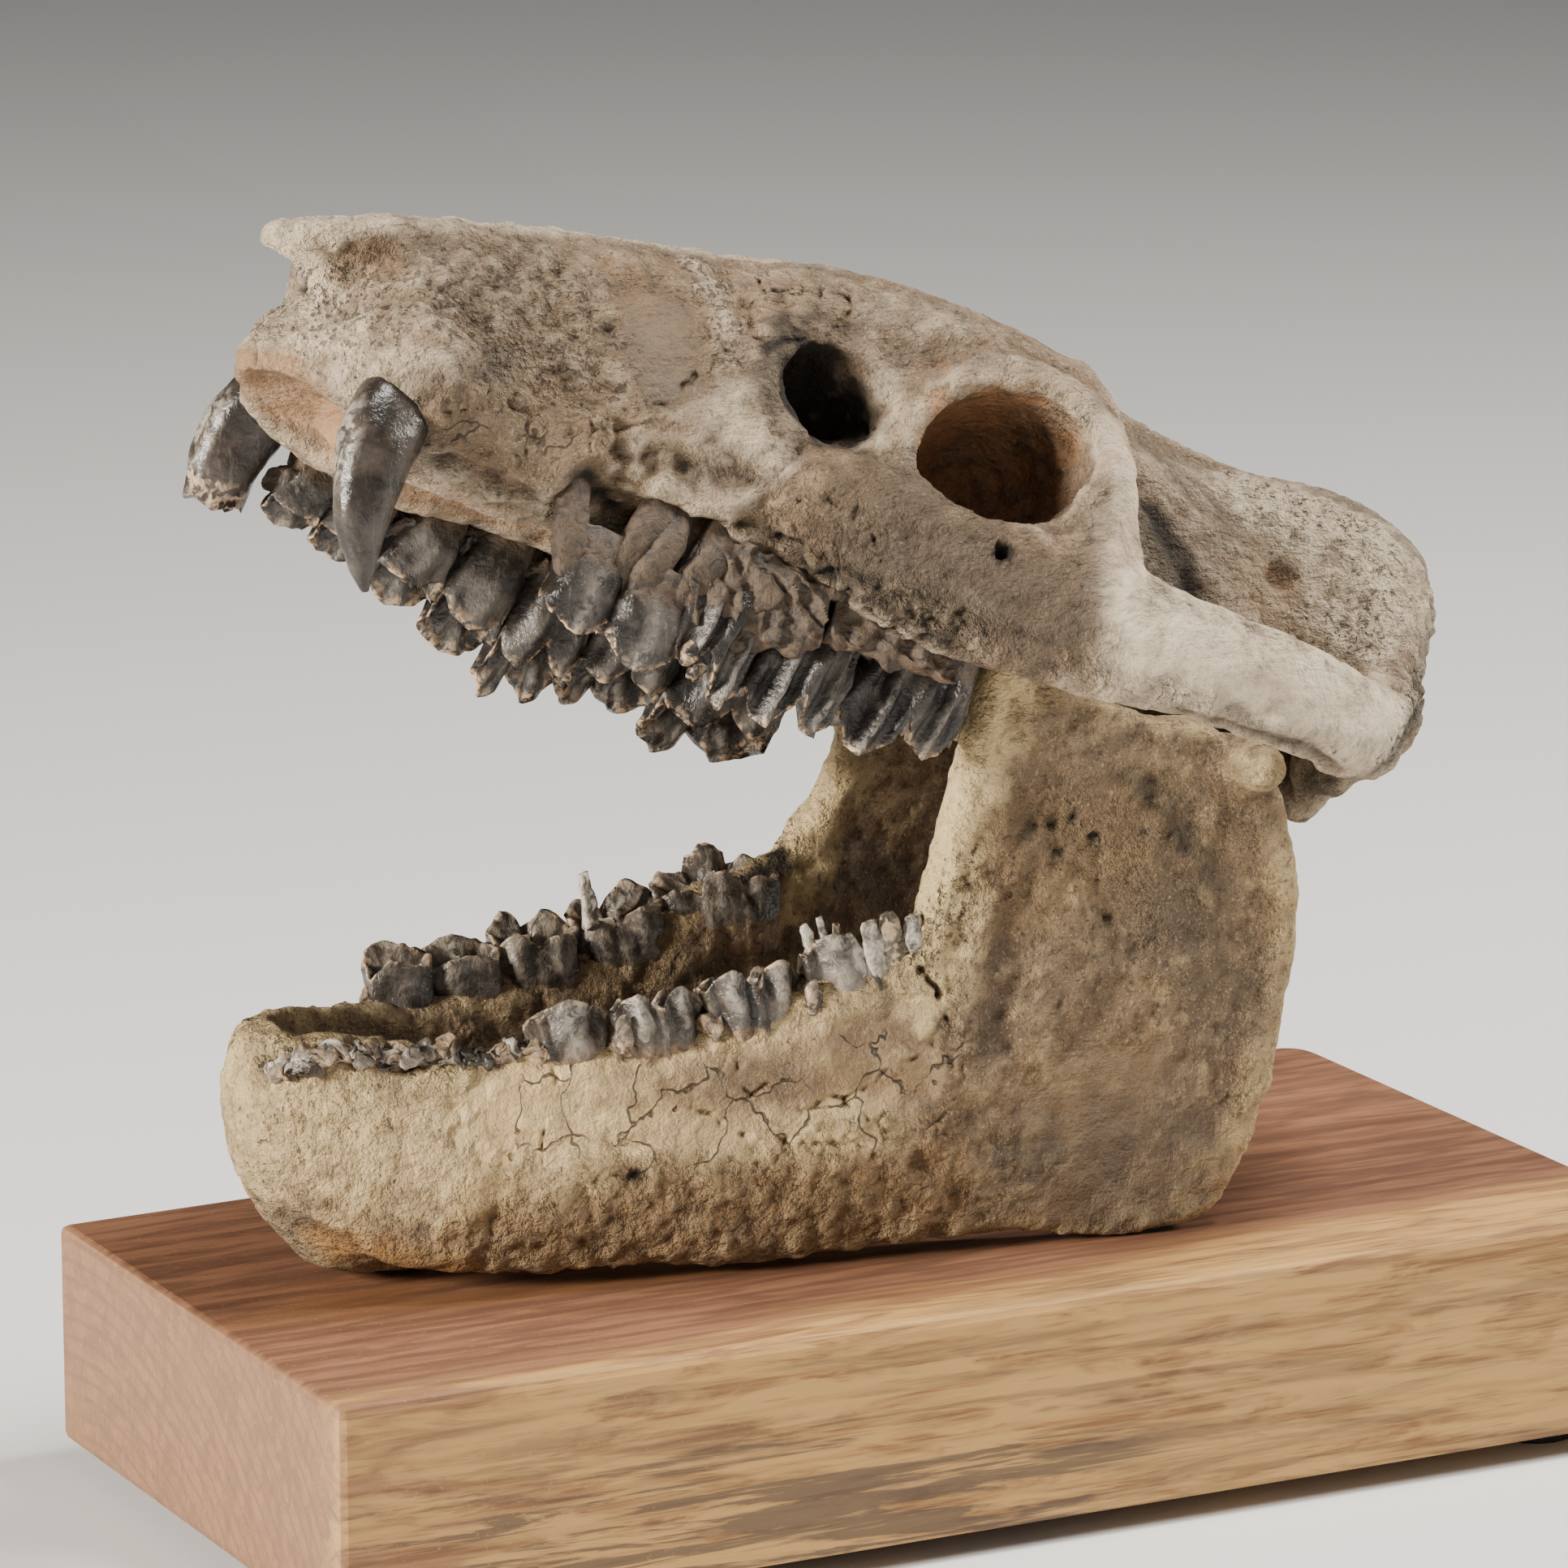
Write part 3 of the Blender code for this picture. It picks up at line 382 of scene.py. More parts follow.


# ---------------------------------------------------------------- cranium: surface
# Burial left the bone cracked, pitted and stained. Its hollows are painted dark, partly for the stone left in
# them and partly as painted shade, and its ridges paler as a painted highlight. Dents, ridges and cracks are
# pressed into the skin along short paths, and the same paths stain it, in places with painted shade and
# painted light. All paths lie on the skin.


class Skin:
    """A bone's skin as arrays, in the bone's own millimetres, with a paint value per vertex and stain."""

    def __init__(self, mesh, stains):
        self.mesh = mesh
        count = len(mesh.vertices)
        place, normal = np.empty(count * 3, np.float32), np.empty(count * 3, np.float32)
        mesh.vertices.foreach_get("co", place)
        mesh.vertices.foreach_get("normal", normal)
        self.place = place.reshape(-1, 3).astype(float)
        self.normal = normal.reshape(-1, 3).astype(float)
        self.height = np.zeros(count)
        self.paint = {stain: np.zeros(count) for stain in stains}
        self.wobble = self.rough(3.0, 1)
        self.drift = np.stack([self.rough(4.5, 2, seed) for seed in (31.0, 37.0, 41.0)], axis=1)

    def rough(self, size, octaves, seed=0.0):
        """Fractal noise from about -1 to 1 with features of that size."""
        shift = Vector((seed, 2 * seed, 3 * seed))
        values = [
            noise.fractal(Vector(p) / size + shift, 0.8, 2.0, octaves, noise_basis="PERLIN_ORIGINAL")
            for p in self.place.tolist()
        ]
        return np.array(values)

    def distance(self, path, squash=None, wander=0.0):
        """Each vertex's distance from the path, stretched by squash where the mark is oval. wander is how
        far, in millimetres, the path strays from its straight stretches."""
        scale = np.array(squash or (1.0, 1.0, 1.0))
        where = (self.place + wander * self.drift) * scale
        points = [np.array(p) * scale for p in path]
        if len(points) == 1:
            return np.linalg.norm(where - points[0], axis=1)
        nearest = np.full(len(where), 1e9)
        for start, end in zip(points, points[1:]):
            along = end - start
            share = np.clip((where - start) @ along / (along @ along), 0, 1)
            nearest = np.minimum(nearest, np.linalg.norm(where - start - share[:, None] * along, axis=1))
        return nearest

    def mark(self, path, radius, edge=0.6, ragged=0.0, squash=None, wander=0.0):
        """1 on the path, falling to 0 at the radius. edge is the share of it that fades, and ragged
        roughens it."""
        reach = self.distance(path, squash, wander) + ragged * radius * self.wobble
        share = np.clip((radius - reach) / (radius * edge), 0, 1)
        return share * share * (3 - 2 * share)

    def press(self, path, radius, depth, edge=0.9, ragged=0.0, squash=None, wander=0.0):
        """Sinks the skin along the path; a negative depth raises it."""
        self.height -= depth * self.mark(path, radius, edge, ragged, squash, wander)

    def stain(self, stain, path, radius, amount=1.0, edge=0.7, ragged=0.35, squash=None, wander=0.0):
        """Paints the stain along the path. A negative amount takes it away."""
        marked = amount * self.mark(path, radius, edge, ragged, squash, wander)
        self.paint[stain] = np.clip(self.paint[stain] + marked, -1, 1)

    def stains(self, path, rows, **form):
        """Several stains on one path, from rows of (stain, radius, amount)."""
        for stain, radius, amount in rows:
            self.stain(stain, path, radius, amount, **form)

    def finish(self, pose, name, material):
        """Moves the skin along its normals, stores the stains and returns the piece in the whole
        object's frame."""
        moved = self.place + self.normal * self.height[:, None]
        self.mesh.vertices.foreach_set("co", moved.astype(np.float32).ravel())
        for stain, values in self.paint.items():
            layer = self.mesh.attributes.new(stain, "FLOAT", "POINT")
            layer.data.foreach_set("value", values.astype(np.float32))
        self.mesh.transform(pose)
        self.mesh.update()
        return finished(name, self.mesh, material)


def opened(mesh, paths, reach, cuts):
    """Splits the faces near the paths, so that a crack there can be narrower than the skin's own faces."""
    bm = bmesh.new()
    bm.from_mesh(mesh)
    where = np.array([v.co[:] for v in bm.verts])
    close = np.zeros(len(where), bool)
    for path in paths:
        for start, end in zip(path, path[1:]):
            start, along = np.array(start), np.array(end) - np.array(start)
            share = np.clip((where - start) @ along / (along @ along), 0, 1)
            close |= np.linalg.norm(where - start - share[:, None] * along, axis=1) < reach
    edges = [e for e in bm.edges if close[e.verts[0].index] and close[e.verts[1].index]]
    bmesh.ops.subdivide_edges(bm, edges=edges, cuts=cuts, use_grid_fill=True)
    bmesh.ops.triangulate(bm, faces=[f for f in bm.faces if len(f.verts) > 4])
    bm.normal_update()
    bm.to_mesh(mesh)
    bm.free()
    return mesh


def add(tree, kind, inputs=None, **settings):
    """A shader node with its settings made and its inputs linked or filled in."""
    made = tree.nodes.new("ShaderNode" + kind)
    for key, value in settings.items():
        setattr(made, key, value)
    for key, value in (inputs or {}).items():
        if isinstance(value, bpy.types.NodeSocket):
            tree.links.new(value, made.inputs[key])
        else:
            made.inputs[key].default_value = value
    return made


def blend(tree, share, a, b, kind="MIX"):
    """A colour mixed from two; either may be a socket or a tuple."""
    made = tree.nodes.new("ShaderNodeMix")
    made.data_type, made.blend_type = "RGBA", kind
    for index, value in ((0, share), (6, a), (7, b)):
        if isinstance(value, bpy.types.NodeSocket):
            tree.links.new(value, made.inputs[index])
        else:
            made.inputs[index].default_value = value if index == 0 else (*value, 1.0)
    return made.outputs[2]


def maths(tree, operation, a, b, clamp=False):
    """Arithmetic on two sockets or numbers, kept between 0 and 1 where it clamps."""
    return add(tree, "Math", {0: a, 1: b}, operation=operation, use_clamp=clamp).outputs[0]


def times(tree, a, b, clamp=False):
    return maths(tree, "MULTIPLY", a, b, clamp)


def plus(tree, a, b):
    return maths(tree, "ADD", a, b)


def remap(tree, value, low, high, to_low=0.0, to_high=1.0):
    """The value, stretched from one range to another, smoothly and with its ends held."""
    inputs = {"Value": value, "From Min": low, "From Max": high, "To Min": to_low, "To Max": to_high}
    return add(tree, "MapRange", inputs, interpolation_type="SMOOTHSTEP").outputs["Result"]


def fractal(tree, vector, size, detail=4.0, roughness=0.55, distortion=0.0):
    """Noise from 0 to 1 with features of that size, in millimetres."""
    inputs = {"Vector": vector, "Scale": 1000.0 / size, "Detail": detail, "Roughness": roughness}
    return add(tree, "TexNoise", {**inputs, "Distortion": distortion}).outputs["Fac"]


def painted(tree, stain):
    """The value that the piece stores per vertex for the stain."""
    return add(tree, "Attribute", attribute_name=stain, attribute_type="GEOMETRY").outputs["Fac"]


def patchy(tree, stain, pattern, low, high, least, most=1.0):
    """The stain's share where the pattern breaks it up, from least at its low end to most at its high one."""
    return times(tree, painted(tree, stain), remap(tree, pattern, low, high, least, most), True)


def stretched(tree, here, scale, rotation=(0, 0, 0), location=(0, 0, 0)):
    """The coordinates scaled, so that a pattern is drawn out along an axis of small scale."""
    inputs = {"Vector": here, "Location": location, "Rotation": rotation, "Scale": scale}
    return add(tree, "Mapping", inputs).outputs[0]


def layers(tree, given, colour, rows):
    """The colour with one of the given colours laid over it for each row of (share, colour's name)."""
    for share, name in rows:
        colour = blend(tree, share, colour, given[name])
    return colour


def node_group(name, colours):
    """A node group with a colour socket of each name. Returns its tree, those sockets and the piece's
    coordinates."""
    tree = bpy.data.node_groups.new(name, "ShaderNodeTree")
    for socket in colours:
        tree.interface.new_socket(socket, in_out="INPUT", socket_type="NodeSocketColor")
    return tree, tree.nodes.new("NodeGroupInput").outputs, add(tree, "TexCoord").outputs["Object"]


def give(tree, colour, roughness, height):
    """Ends a node group with its three outputs and returns the group."""
    made = {"Color": colour, "Roughness": roughness, "Height": height}
    for name in made:
        kind = "NodeSocketColor" if name == "Color" else "NodeSocketFloat"
        tree.interface.new_socket(name, in_out="OUTPUT", socket_type=kind)
    out = tree.nodes.new("NodeGroupOutput")
    for name, value in made.items():
        tree.links.new(value, out.inputs[name])
    return tree


def group_material(name, group, colours, relief_strength, relief_depth, specular=0.5):
    """A material of that node group in these colours, with its height as a bump that deep in metres."""
    made = bpy.data.materials.new(name)
    made.use_nodes = True
    tree = made.node_tree
    shader = tree.nodes["Principled BSDF"]
    look = tree.nodes.new("ShaderNodeGroup")
    look.node_tree = group
    for socket, colour in colours.items():
        look.inputs[socket].default_value = (*colour, 1.0)
    inputs = {"Height": look.outputs["Height"], "Strength": relief_strength, "Distance": relief_depth}
    relief = add(tree, "Bump", inputs)
    tree.links.new(look.outputs["Color"], shader.inputs["Base Color"])
    tree.links.new(look.outputs["Roughness"], shader.inputs["Roughness"])
    tree.links.new(relief.outputs["Normal"], shader.inputs["Normal"])
    shader.inputs["Specular IOR Level"].default_value = specular
    return made


# The grime stain is dirt in some places and painted shade in others. The hollow stain is darkening by
# curvature, partly for stone and partly painted shade, and the pale stain is in part a painted highlight.
STAINS = ("pale", "tan", "grime_and_shade", "pores", "polish", "hollow", "crack", "crazed", "crust", "ochre")


def fossil_bone_group():
    """Fossil bone: mottled tan and grey-brown, with pale worn parts, dark stone in its pores and cracks,
    painted shade in its hollows and a painted highlight on its ridges.
    """
    tree, given, here = node_group("fossil_bone", ("Pale", "Tan", "Grey", "Dark", "Ochre"))
    broad = fractal(tree, here, 30.0, 5.0, 0.6)
    patches = fractal(tree, here, 8.0, 6.0, 0.62, 0.5)
    blotches = fractal(tree, here, 3.2, 4.0, 0.6, 0.3)
    speckle = fractal(tree, here, 1.2, 4.0, 0.7)
    flecks = fractal(tree, here, 0.5, 2.0, 0.6)
    fibre = fractal(tree, stretched(tree, here, (0.16, 1, 1), (0, math.radians(-25), 0)), 1.0, 4.0, 0.62)

    coarse = remap(tree, painted(tree, "polish"), 0.0, 1.0, 1.0, 0.25)
    colour = blend(tree, remap(tree, broad, 0.38, 0.62), given["Grey"], given["Tan"])
    mottling = [
        (remap(tree, patches, 0.54, 0.72, 0.0, 0.45), "Pale"),
        (remap(tree, patches, 0.48, 0.32, 0.0, 0.7), "Grey"),
        (patchy(tree, "tan", patches, 0.28, 0.60, 0.4), "Tan"),
        (patchy(tree, "pale", patches, 0.28, 0.58, 0.5), "Pale"),
        (patchy(tree, "ochre", patches, 0.30, 0.58, 0.3), "Ochre"),
        (remap(tree, blotches, 0.50, 0.72, 0.0, 0.42), "Grey"),
        (times(tree, remap(tree, speckle, 0.50, 0.70, 0.0, 0.60), coarse), "Dark"),
        (times(tree, remap(tree, fibre, 0.55, 0.75, 0.0, 0.30), coarse), "Dark"),
        (times(tree, remap(tree, flecks, 0.55, 0.74, 0.0, 0.42), coarse), "Pale"),
    ]
    colour = layers(tree, given, colour, mottling)

    open_pores = plus(tree, painted(tree, "pores"), remap(tree, patches, 0.52, 0.75, 0.0, 0.30))
    limit = maths(tree, "SUBTRACT", 0.74, times(tree, open_pores, 0.17))
    fine_pits = remap(tree, maths(tree, "SUBTRACT", speckle, limit), 0.0, 0.045)
    wide_pits = remap(tree, maths(tree, "SUBTRACT", fractal(tree, here, 1.4, 2.0, 0.5), limit), 0.0, 0.05)
    pits = maths(tree, "MAXIMUM", fine_pits, wide_pits)
    pits = times(tree, pits, remap(tree, open_pores, 0.0, 0.3), True)

    drift = add(tree, "TexNoise", {"Vector": here, "Scale": 220.0}).outputs["Color"]
    warp = add(tree, "VectorMath", {0: drift, 1: (0.007, 0.007, 0.007)}, operation="MULTIPLY")
    bent = add(tree, "VectorMath", {0: here, 1: warp.outputs[0]}, operation="ADD").outputs[0]
    craze = add(tree, "TexVoronoi", {"Vector": bent, "Scale": 1000 / 11.0}, feature="DISTANCE_TO_EDGE")
    seldom = plus(tree, patches, times(tree, painted(tree, "crazed"), 0.30))
    hairline = remap(tree, craze.outputs["Distance"], 0.022, 0.006)
    hairline = times(tree, hairline, remap(tree, seldom, 0.60, 0.74), True)
    cracks = maths(tree, "MAXIMUM", hairline, painted(tree, "crack"))

    crusty = patchy(tree, "crust", blotches, 0.50, 0.40, 0.0)
    # The grime and hollow stains darken it, both for dirt and as painted shade.
    dirt_and_shade = plus(tree, painted(tree, "grime_and_shade"), times(tree, painted(tree, "hollow"), 0.9))
    dirt_and_shade = times(tree, dirt_and_shade, remap(tree, patches, 0.25, 0.55, 0.7, 1.1), True)
    dirt_shade_and_gaps = [
        (times(tree, crusty, 0.25), "Grey"),
        (dirt_and_shade, "Dark"),
        (times(tree, pits, 0.5), "Dark"),
        (times(tree, cracks, 0.8), "Dark"),
    ]
    colour = layers(tree, given, colour, dirt_shade_and_gaps)

    rough = maths(tree, "SUBTRACT", 1.0, times(tree, painted(tree, "polish"), 0.85), True)
    grain = plus(tree, times(tree, speckle, 0.85), times(tree, fibre, 0.6))
    grain = plus(tree, grain, times(tree, flecks, 0.25))
    grain = plus(tree, grain, times(tree, blotches, 0.9))
    height = plus(tree, times(tree, grain, rough), times(tree, patches, 0.9))
    height = plus(tree, height, times(tree, painted(tree, "crust"), times(tree, blotches, 1.6)))
    height = maths(tree, "SUBTRACT", height, times(tree, pits, 0.9))
    height = maths(tree, "SUBTRACT", height, times(tree, cracks, 0.6))
    return give(tree, colour, remap(tree, painted(tree, "polish"), 0.0, 1.0, 0.78, 0.45), height)


FOSSIL_BONE = fossil_bone_group()


def shade_hollows_and_light_ridges(skin, turns, depth):
    """Paints the hollows dark, partly for the stone in them and partly as painted shade, and the ridges pale
    as a painted highlight, by how far each vertex lies below or above its smoothed place."""
    mesh = skin.mesh
    ends = np.empty(len(mesh.edges) * 2, np.int32)
    mesh.edges.foreach_get("vertices", ends)
    ends = ends.reshape(-1, 2)
    count = len(skin.place)
    degree = np.bincount(ends.ravel(), minlength=count)[:, None]
    moved = skin.place + skin.normal * skin.height[:, None]
    even = moved.copy()
    for _ in range(turns):
        total = np.zeros_like(even)
        for axis in range(3):
            total[:, axis] = np.bincount(ends[:, 0], weights=even[ends[:, 1], axis], minlength=count)
            total[:, axis] += np.bincount(ends[:, 1], weights=even[ends[:, 0], axis], minlength=count)
        even = total / degree
    above = ((moved - even) * skin.normal).sum(axis=1)
    # Painted shade in the hollows, partly for their stone, and a painted highlight on the ridges.
    skin.paint["hollow"] = np.clip(skin.paint["hollow"] + np.clip(-above / depth, 0, 1) * 0.5, 0, 1)
    skin.paint["pale"] = np.clip(skin.paint["pale"] + np.clip(above / depth, 0, 1) * 0.75, 0, 1)


# Long cracks of the left cheek and the frame round its cracked plate, along the skin.
CRANIUM_CRACKS = [
    [(-103, -23.8, 30), (-100, -21, 35), (-97.9, -15.5, 40)],
    [(-103, -23.8, 30), (-98.8, -25.8, 28.4), (-93.3, -25.9, 31.4), (-88.6, -25.3, 35), (-86.4, -22, 41)],
    [(-100, -21, 35), (-94, -20, 38.5), (-86.4, -22, 41)],
    [(-105.5, -25.4, 25), (-103, -26, 18), (-97, -27.5, 13), (-92, -30, 10)],
    [(-122.9, -25.5, 5.7), (-118.2, -26.2, 9.2), (-113, -26.7, 14.8), (-108.3, -26.2, 20.7)],
    [
        (-147.6, -25, 1.4), (-140.6, -22.9, 6.2), (-131.3, -23.8, 8.2), (-124.3, -25.1, 7),
        (-122.2, -25.8, 3.2),
    ],
    [(-136.8, -23.1, 6.6), (-132.1, -23.8, 4.2), (-131.4, -23.7, -0.2)],
    [(-93.5, -31.3, 7.5), (-88.3, -34.8, 8), (-82.8, -38.4, 7.3), (-79.4, -40.3, 3.9), (-78.3, -39.6, -1.4)],
    [(-92.6, -31.2, 2.7), (-88.7, -33.7, 2.2), (-83.4, -36.8, -0.4)],
    [(-60, -47, 2), (-66, -45, -2), (-72, -42, -3)],
]
CRACK_REACH, CRACK_CUTS = 2.2, 2  # how far from a crack the faces are split, and how often
cranium_mesh = opened(cranium_mesh, CRANIUM_CRACKS, CRACK_REACH, CRACK_CUTS)
skin = Skin(cranium_mesh, STAINS)
swell, lumps = skin.rough(16.0, 3, 3.0), skin.rough(4.5, 3, 5.0)
crumbs, creases = skin.rough(1.9, 2, 7.0), skin.rough(11.0, 3, 9.0)

# The snout's sides are spongy bone. Behind them lie a smooth patch, a porous upright band and a cracked
# plate.
SNOUT = [(-158, 10, 12), (-146, 20, 14), (-133, 18, 24), (-126, 22, 16)]
PATCH = [(-116, -21.6, 27), (-114, -24.5, 20)]
BAND = [(-107.5, -13.5, 37.8), (-107.3, -20, 32.7), (-106, -24, 27.6), (-105.5, -25.4, 24)]
for side in (LEFT, RIGHT):
    skin.stains(mirrored(SNOUT, side), (("pores", 14.0, 0.95), ("crust", 15.0, 0.5), ("tan", 13.0, 0.6)))
    skin.stain("grime_and_shade", [(-128, side * 21, 20), (-134, side * 13, 29), (-150, side * 20, 9)], 8.0, 0.16)
    skin.stain("pale", [(-164, side * 5, 10), (-158, side * 12, 8), (-152, side * 17, 3)], 8.0, 0.7)
    above_canine = [(-152, side * 24, 1), (-146, side * 23, 8), (-138, side * 22, 11)]
    skin.stains(above_canine, (("grime_and_shade", 5.0, 0.35), ("polish", 5.0, 0.6)))
# The top of the nose is painted pale, as a painted highlight where light from above falls.
skin.stain("pale", [(-166, 0, 22), (-150, 0, 32), (-120, 0, 40), (-90, 0, 46)], 11.0, 1.0)
skin.stain("polish", PATCH, 8.5, 0.8, ragged=0.2)
skin.stains(PATCH, (("pale", 10.0, -0.9), ("grime_and_shade", 11.0, 0.42)))
skin.stain("ochre", [(-121, -14, 31), (-117, -19, 28)], 5.0, 0.25)
skin.press(PATCH, 8.5, 0.6, edge=0.3, ragged=0.25)
skin.press(BAND, 2.8, -0.5, ragged=0.5, wander=1.5)
skin.stain("pores", BAND, 3.8, 1.0, edge=0.4, wander=1.5)
skin.stain("pale", BAND, 3.4, 0.3, wander=1.5)
skin.press([(-95.5, -23, 33.5)], 7.5, -0.5, edge=0.3)
skin.press([(-92, -27.5, 17), (-97, -27.0, 15), (-101, -26.5, 19)], 4.0, -0.7)
skin.stain("pale", [(-104, -26.5, 17), (-98, -28, 13), (-92, -30.5, 12)], 5.0, 0.7)

# Cheek: the pit before the eye, the dents below it, the plate over the lost teeth and the folds behind.
for side in (LEFT, RIGHT):
    # Painted shade in the pit before the eye, darkest round its front and floor, and a painted highlight on
    # its rear wall.
    skin.stain("grime_and_shade", [(-91.5, side * 22, 27), (-87, side * 23, 23)], 13.5, 1.3, edge=0.9, ragged=0.3)
    skin.stain("pale", [(-79, side * 28, 27), (-80, side * 29, 20)], 6.0, 0.5)
    skin.stain("grime_and_shade", [(-97, side * 26, 24), (-93, side * 28, 18)], 6.0, 0.35)
    nerve_hole = [(-63.2, side * 46.6, 9.7)]
    skin.press(nerve_hole, 1.6, 3.0, edge=0.7)
    skin.stain("grime_and_shade", nerve_hole, 1.7, 1.0, edge=0.3, ragged=0.1)
    cheek = [(-82, side * 37, 9), (-68, side * 45, 6), (-56, side * 48.5, 3)]
    skin.stain("pale", cheek, 14.0, -0.9, edge=0.5)
    skin.stain("grime_and_shade", cheek, 13.0, 0.55, edge=0.6)
    skin.stain("tan", [(-84, side * 36, 12), (-70, side * 44, 11), (-56, side * 48, 8)], 12.0, 0.8)
PLATE = [(-143, -23.5, 1.5), (-134, -23.5, 2.5), (-126, -25, 2)]
skin.press(PLATE, 7.2, -1.5, edge=0.25, ragged=0.2, wander=1.5)
skin.stain("pale", PLATE, 9.0, -0.7)
skin.stain("tan", PLATE, 7.0, 0.7, edge=0.3)
skin.stains(PLATE, (("grime_and_shade", 8.0, 0.12), ("crazed", 8.0, 0.6)))
DENTS = [(-118, -27, 4.0), (-112, -27.9, 5.6), (-106, -28.8, 5.4), (-99, -30, 7.6)]
skin.press(DENTS, 3.6, 1.0, edge=1.0, ragged=0.9)
skin.press([(-115.5, -27.1, 4.6), (-112, -27.8, 5.6)], 2.2, 0.6, ragged=0.7)
skin.stain("grime_and_shade", DENTS, 3.0, 0.12)
skin.press([(-120, -27, -3), (-112, -28, -4), (-103, -29, -4)], 7.0, 3.4, edge=0.8, ragged=0.3)
skin.stain("tan", [(-120, -27, -2), (-107, -28, -1), (-94, -30, -2)], 7.5, 1.0)
skin.stain("grime_and_shade", [(-122, -26, -1), (-114, -26, -5), (-106, -27, -6), (-98, -28, -6)], 4.0, 0.7)
skin.press([(-95, -31, 2), (-88, -35, 2), (-81, -38.5, 0)], 5.0, 1.7, ragged=0.4)
skin.stain("grime_and_shade", [(-93, -31, 0), (-86, -35, -1), (-79, -39, -2)], 3.6, 0.45)
MOLAR_FOLDS = 9
for k in range(MOLAR_FOLDS):
    x, y = -101.5 + 4.2 * k, -28.5 - 1.6 * k
    fold = [(x + 2.5, y, 2.5 - 0.3 * k), (x + 0.5, y, -3), (x - 1.5, y + 0.5, -8)]
    skin.press(fold, 1.7, 1.5, edge=1.0, ragged=0.5, wander=2.0)
    skin.stain("grime_and_shade", fold, 1.4, 0.35, wander=2.0)
for place in ((-147.8, -23.5, -2.5), (-141.2, -21, -4.7), (-133.8, -21.5, -5.7), (-129, -18.5, -7.4)):
    skin.press([place], 3.0, 1.3, edge=1.0, ragged=0.9)
RAGGED_MARGIN = [
    (-148, -22, -3.5), (-142, -21.5, -6.5), (-136, -20, -7.5), (-130, -20, -8.5), (-125, -21, -7),
]
skin.stains(RAGGED_MARGIN, (("crust", 5.0, 1.0), ("pale", 3.0, 0.5)))
PALATE = [(-100, 0, -2), (-140, 0, -3)]
skin.stains(PALATE, (("ochre", 17.0, 0.22), ("tan", 17.0, 0.9), ("polish", 16.0, 0.5)), edge=0.4)
BETWEEN_CANINES = [(-162, 0, -1), (-154, 0, 0), (-146, 0, -1)]
for stain, amount in (("pale", -0.9), ("tan", 0.9), ("ochre", 0.35), ("polish", 0.5)):
    skin.stain(stain, BETWEEN_CANINES, 15.0, amount, edge=0.4, squash=(1, 1, 2.6))
skin.stain("ochre", [(-158, -6, 20), (-155, -10, 21)], 4.5, 0.25)

# Eye sockets are rusty bowls with a smooth bar behind them. The cheek arch is smooth, pale and partly painted
# highlight.
for side in (LEFT, RIGHT):
    socket = orbit_frame(side).to_translation()
    inner = (socket.x, side * (abs(socket.y) - 9.0), socket.z)
    skin.stains([inner], (("ochre", 17.0, 0.85), ("tan", 17.0, 1.0), ("polish", 15.0, 0.5)), edge=0.3)
    bar = [(-48, side * 42.5, 33), (-44.5, side * 45, 27), (-45, side * 48.6, 19), (-46, side * 50, 10)]
    skin.stains(bar, (("polish", 8.0, 0.8), ("pale", 5.0, 0.45)))
    skin.stain("grime_and_shade", [(-52, side * 41, 36), (-50, side * 46, 22), (-50, side * 49, 10)], 3.5, 0.25)
    arch = mirrored([(-40, 52, 5), (-31, 54, 6.5), (-17, 55, 8), (-6, 54, 6), (8, 48, 8)], side)
    # The arch is pale bone with a painted highlight laid over it.
    skin.stains(arch, (("pale", 13.0, 1.0), ("polish", 11.0, 0.75)))
    under = [(-30, side * 53, -5), (-16, side * 54, -3), (-6, side * 54, -1.5), (4, side * 49, -3)]
    skin.press(under, 2.6, 1.4)
    skin.stain("grime_and_shade", under, 2.2, 0.5)
    skin.press([(-18.9, side * 14, 35), (-12.9, side * 17.5, 31), (-6, side * 21.2, 25)], 2.2, -0.9)
    skin.press([(-12, side * 10, 39), (-6, side * 16, 34), (0, side * 20, 27)], 2.0, 0.7)
    skin.press([(-24, side * 15, 34), (-18.6, side * 20, 26), (-14.8, side * 23.3, 20)], 3.0, 1.4)
    # Painted shade in the temple's hollow behind the bar.
    skin.stain("grime_and_shade", [(-22, side * 18, 28), (-15, side * 22, 20), (-12, side * 24, 10)], 6.0, 0.75)
    skin.stain("grime_and_shade", [(-34, side * 22, 25), (-28, side * 22, 14), (-22, side * 24, 5)], 8.0, 0.9)
    temple_dent = [(0.4, side * 23.6, 27.6)]
    skin.press(temple_dent, 3.6, 2.0, edge=0.8)
    skin.stain("ochre", temple_dent, 4.0, 0.5)
    skin.stain("pale", [(-8, side * 8, 42), (0, side * 15, 37), (4, side * 22, 30)], 7.0, 0.4)

# The swelling over the neck's muscles is rough and pitted, and broken to sponge along its rear edge.
for side in (LEFT, RIGHT):
    nape = [(1.6, side * 13, 40), (13, side * 22.6, 39), (15.7, side * 30.4, 31.4), (11, side * 31, 24)]
    skin.stains(nape, (("pores", 9.5, 0.7), ("crust", 10.0, 0.5), ("pale", 11.0, 1.0)))
    skin.stain("pores", [(12.4, side * 33.4, 22.4)], 5.0, 1.0)
    broken = [(22.5, side * 34, 18), (15.4, side * 44, 10.8), (10.9, side * 47, 3)]
    skin.stains(broken, (("pores", 5.0, 1.0), ("crust", 6.0, 1.0)))
    skin.stain("grime_and_shade", [(x + 1, y, z - 1) for x, y, z in broken], 3.6, 0.6)
    skin.stain("grime_and_shade", [(-8, side * 45, -4), (2, side * 42, -5), (10, side * 36, -5)], 7.0, 0.75)
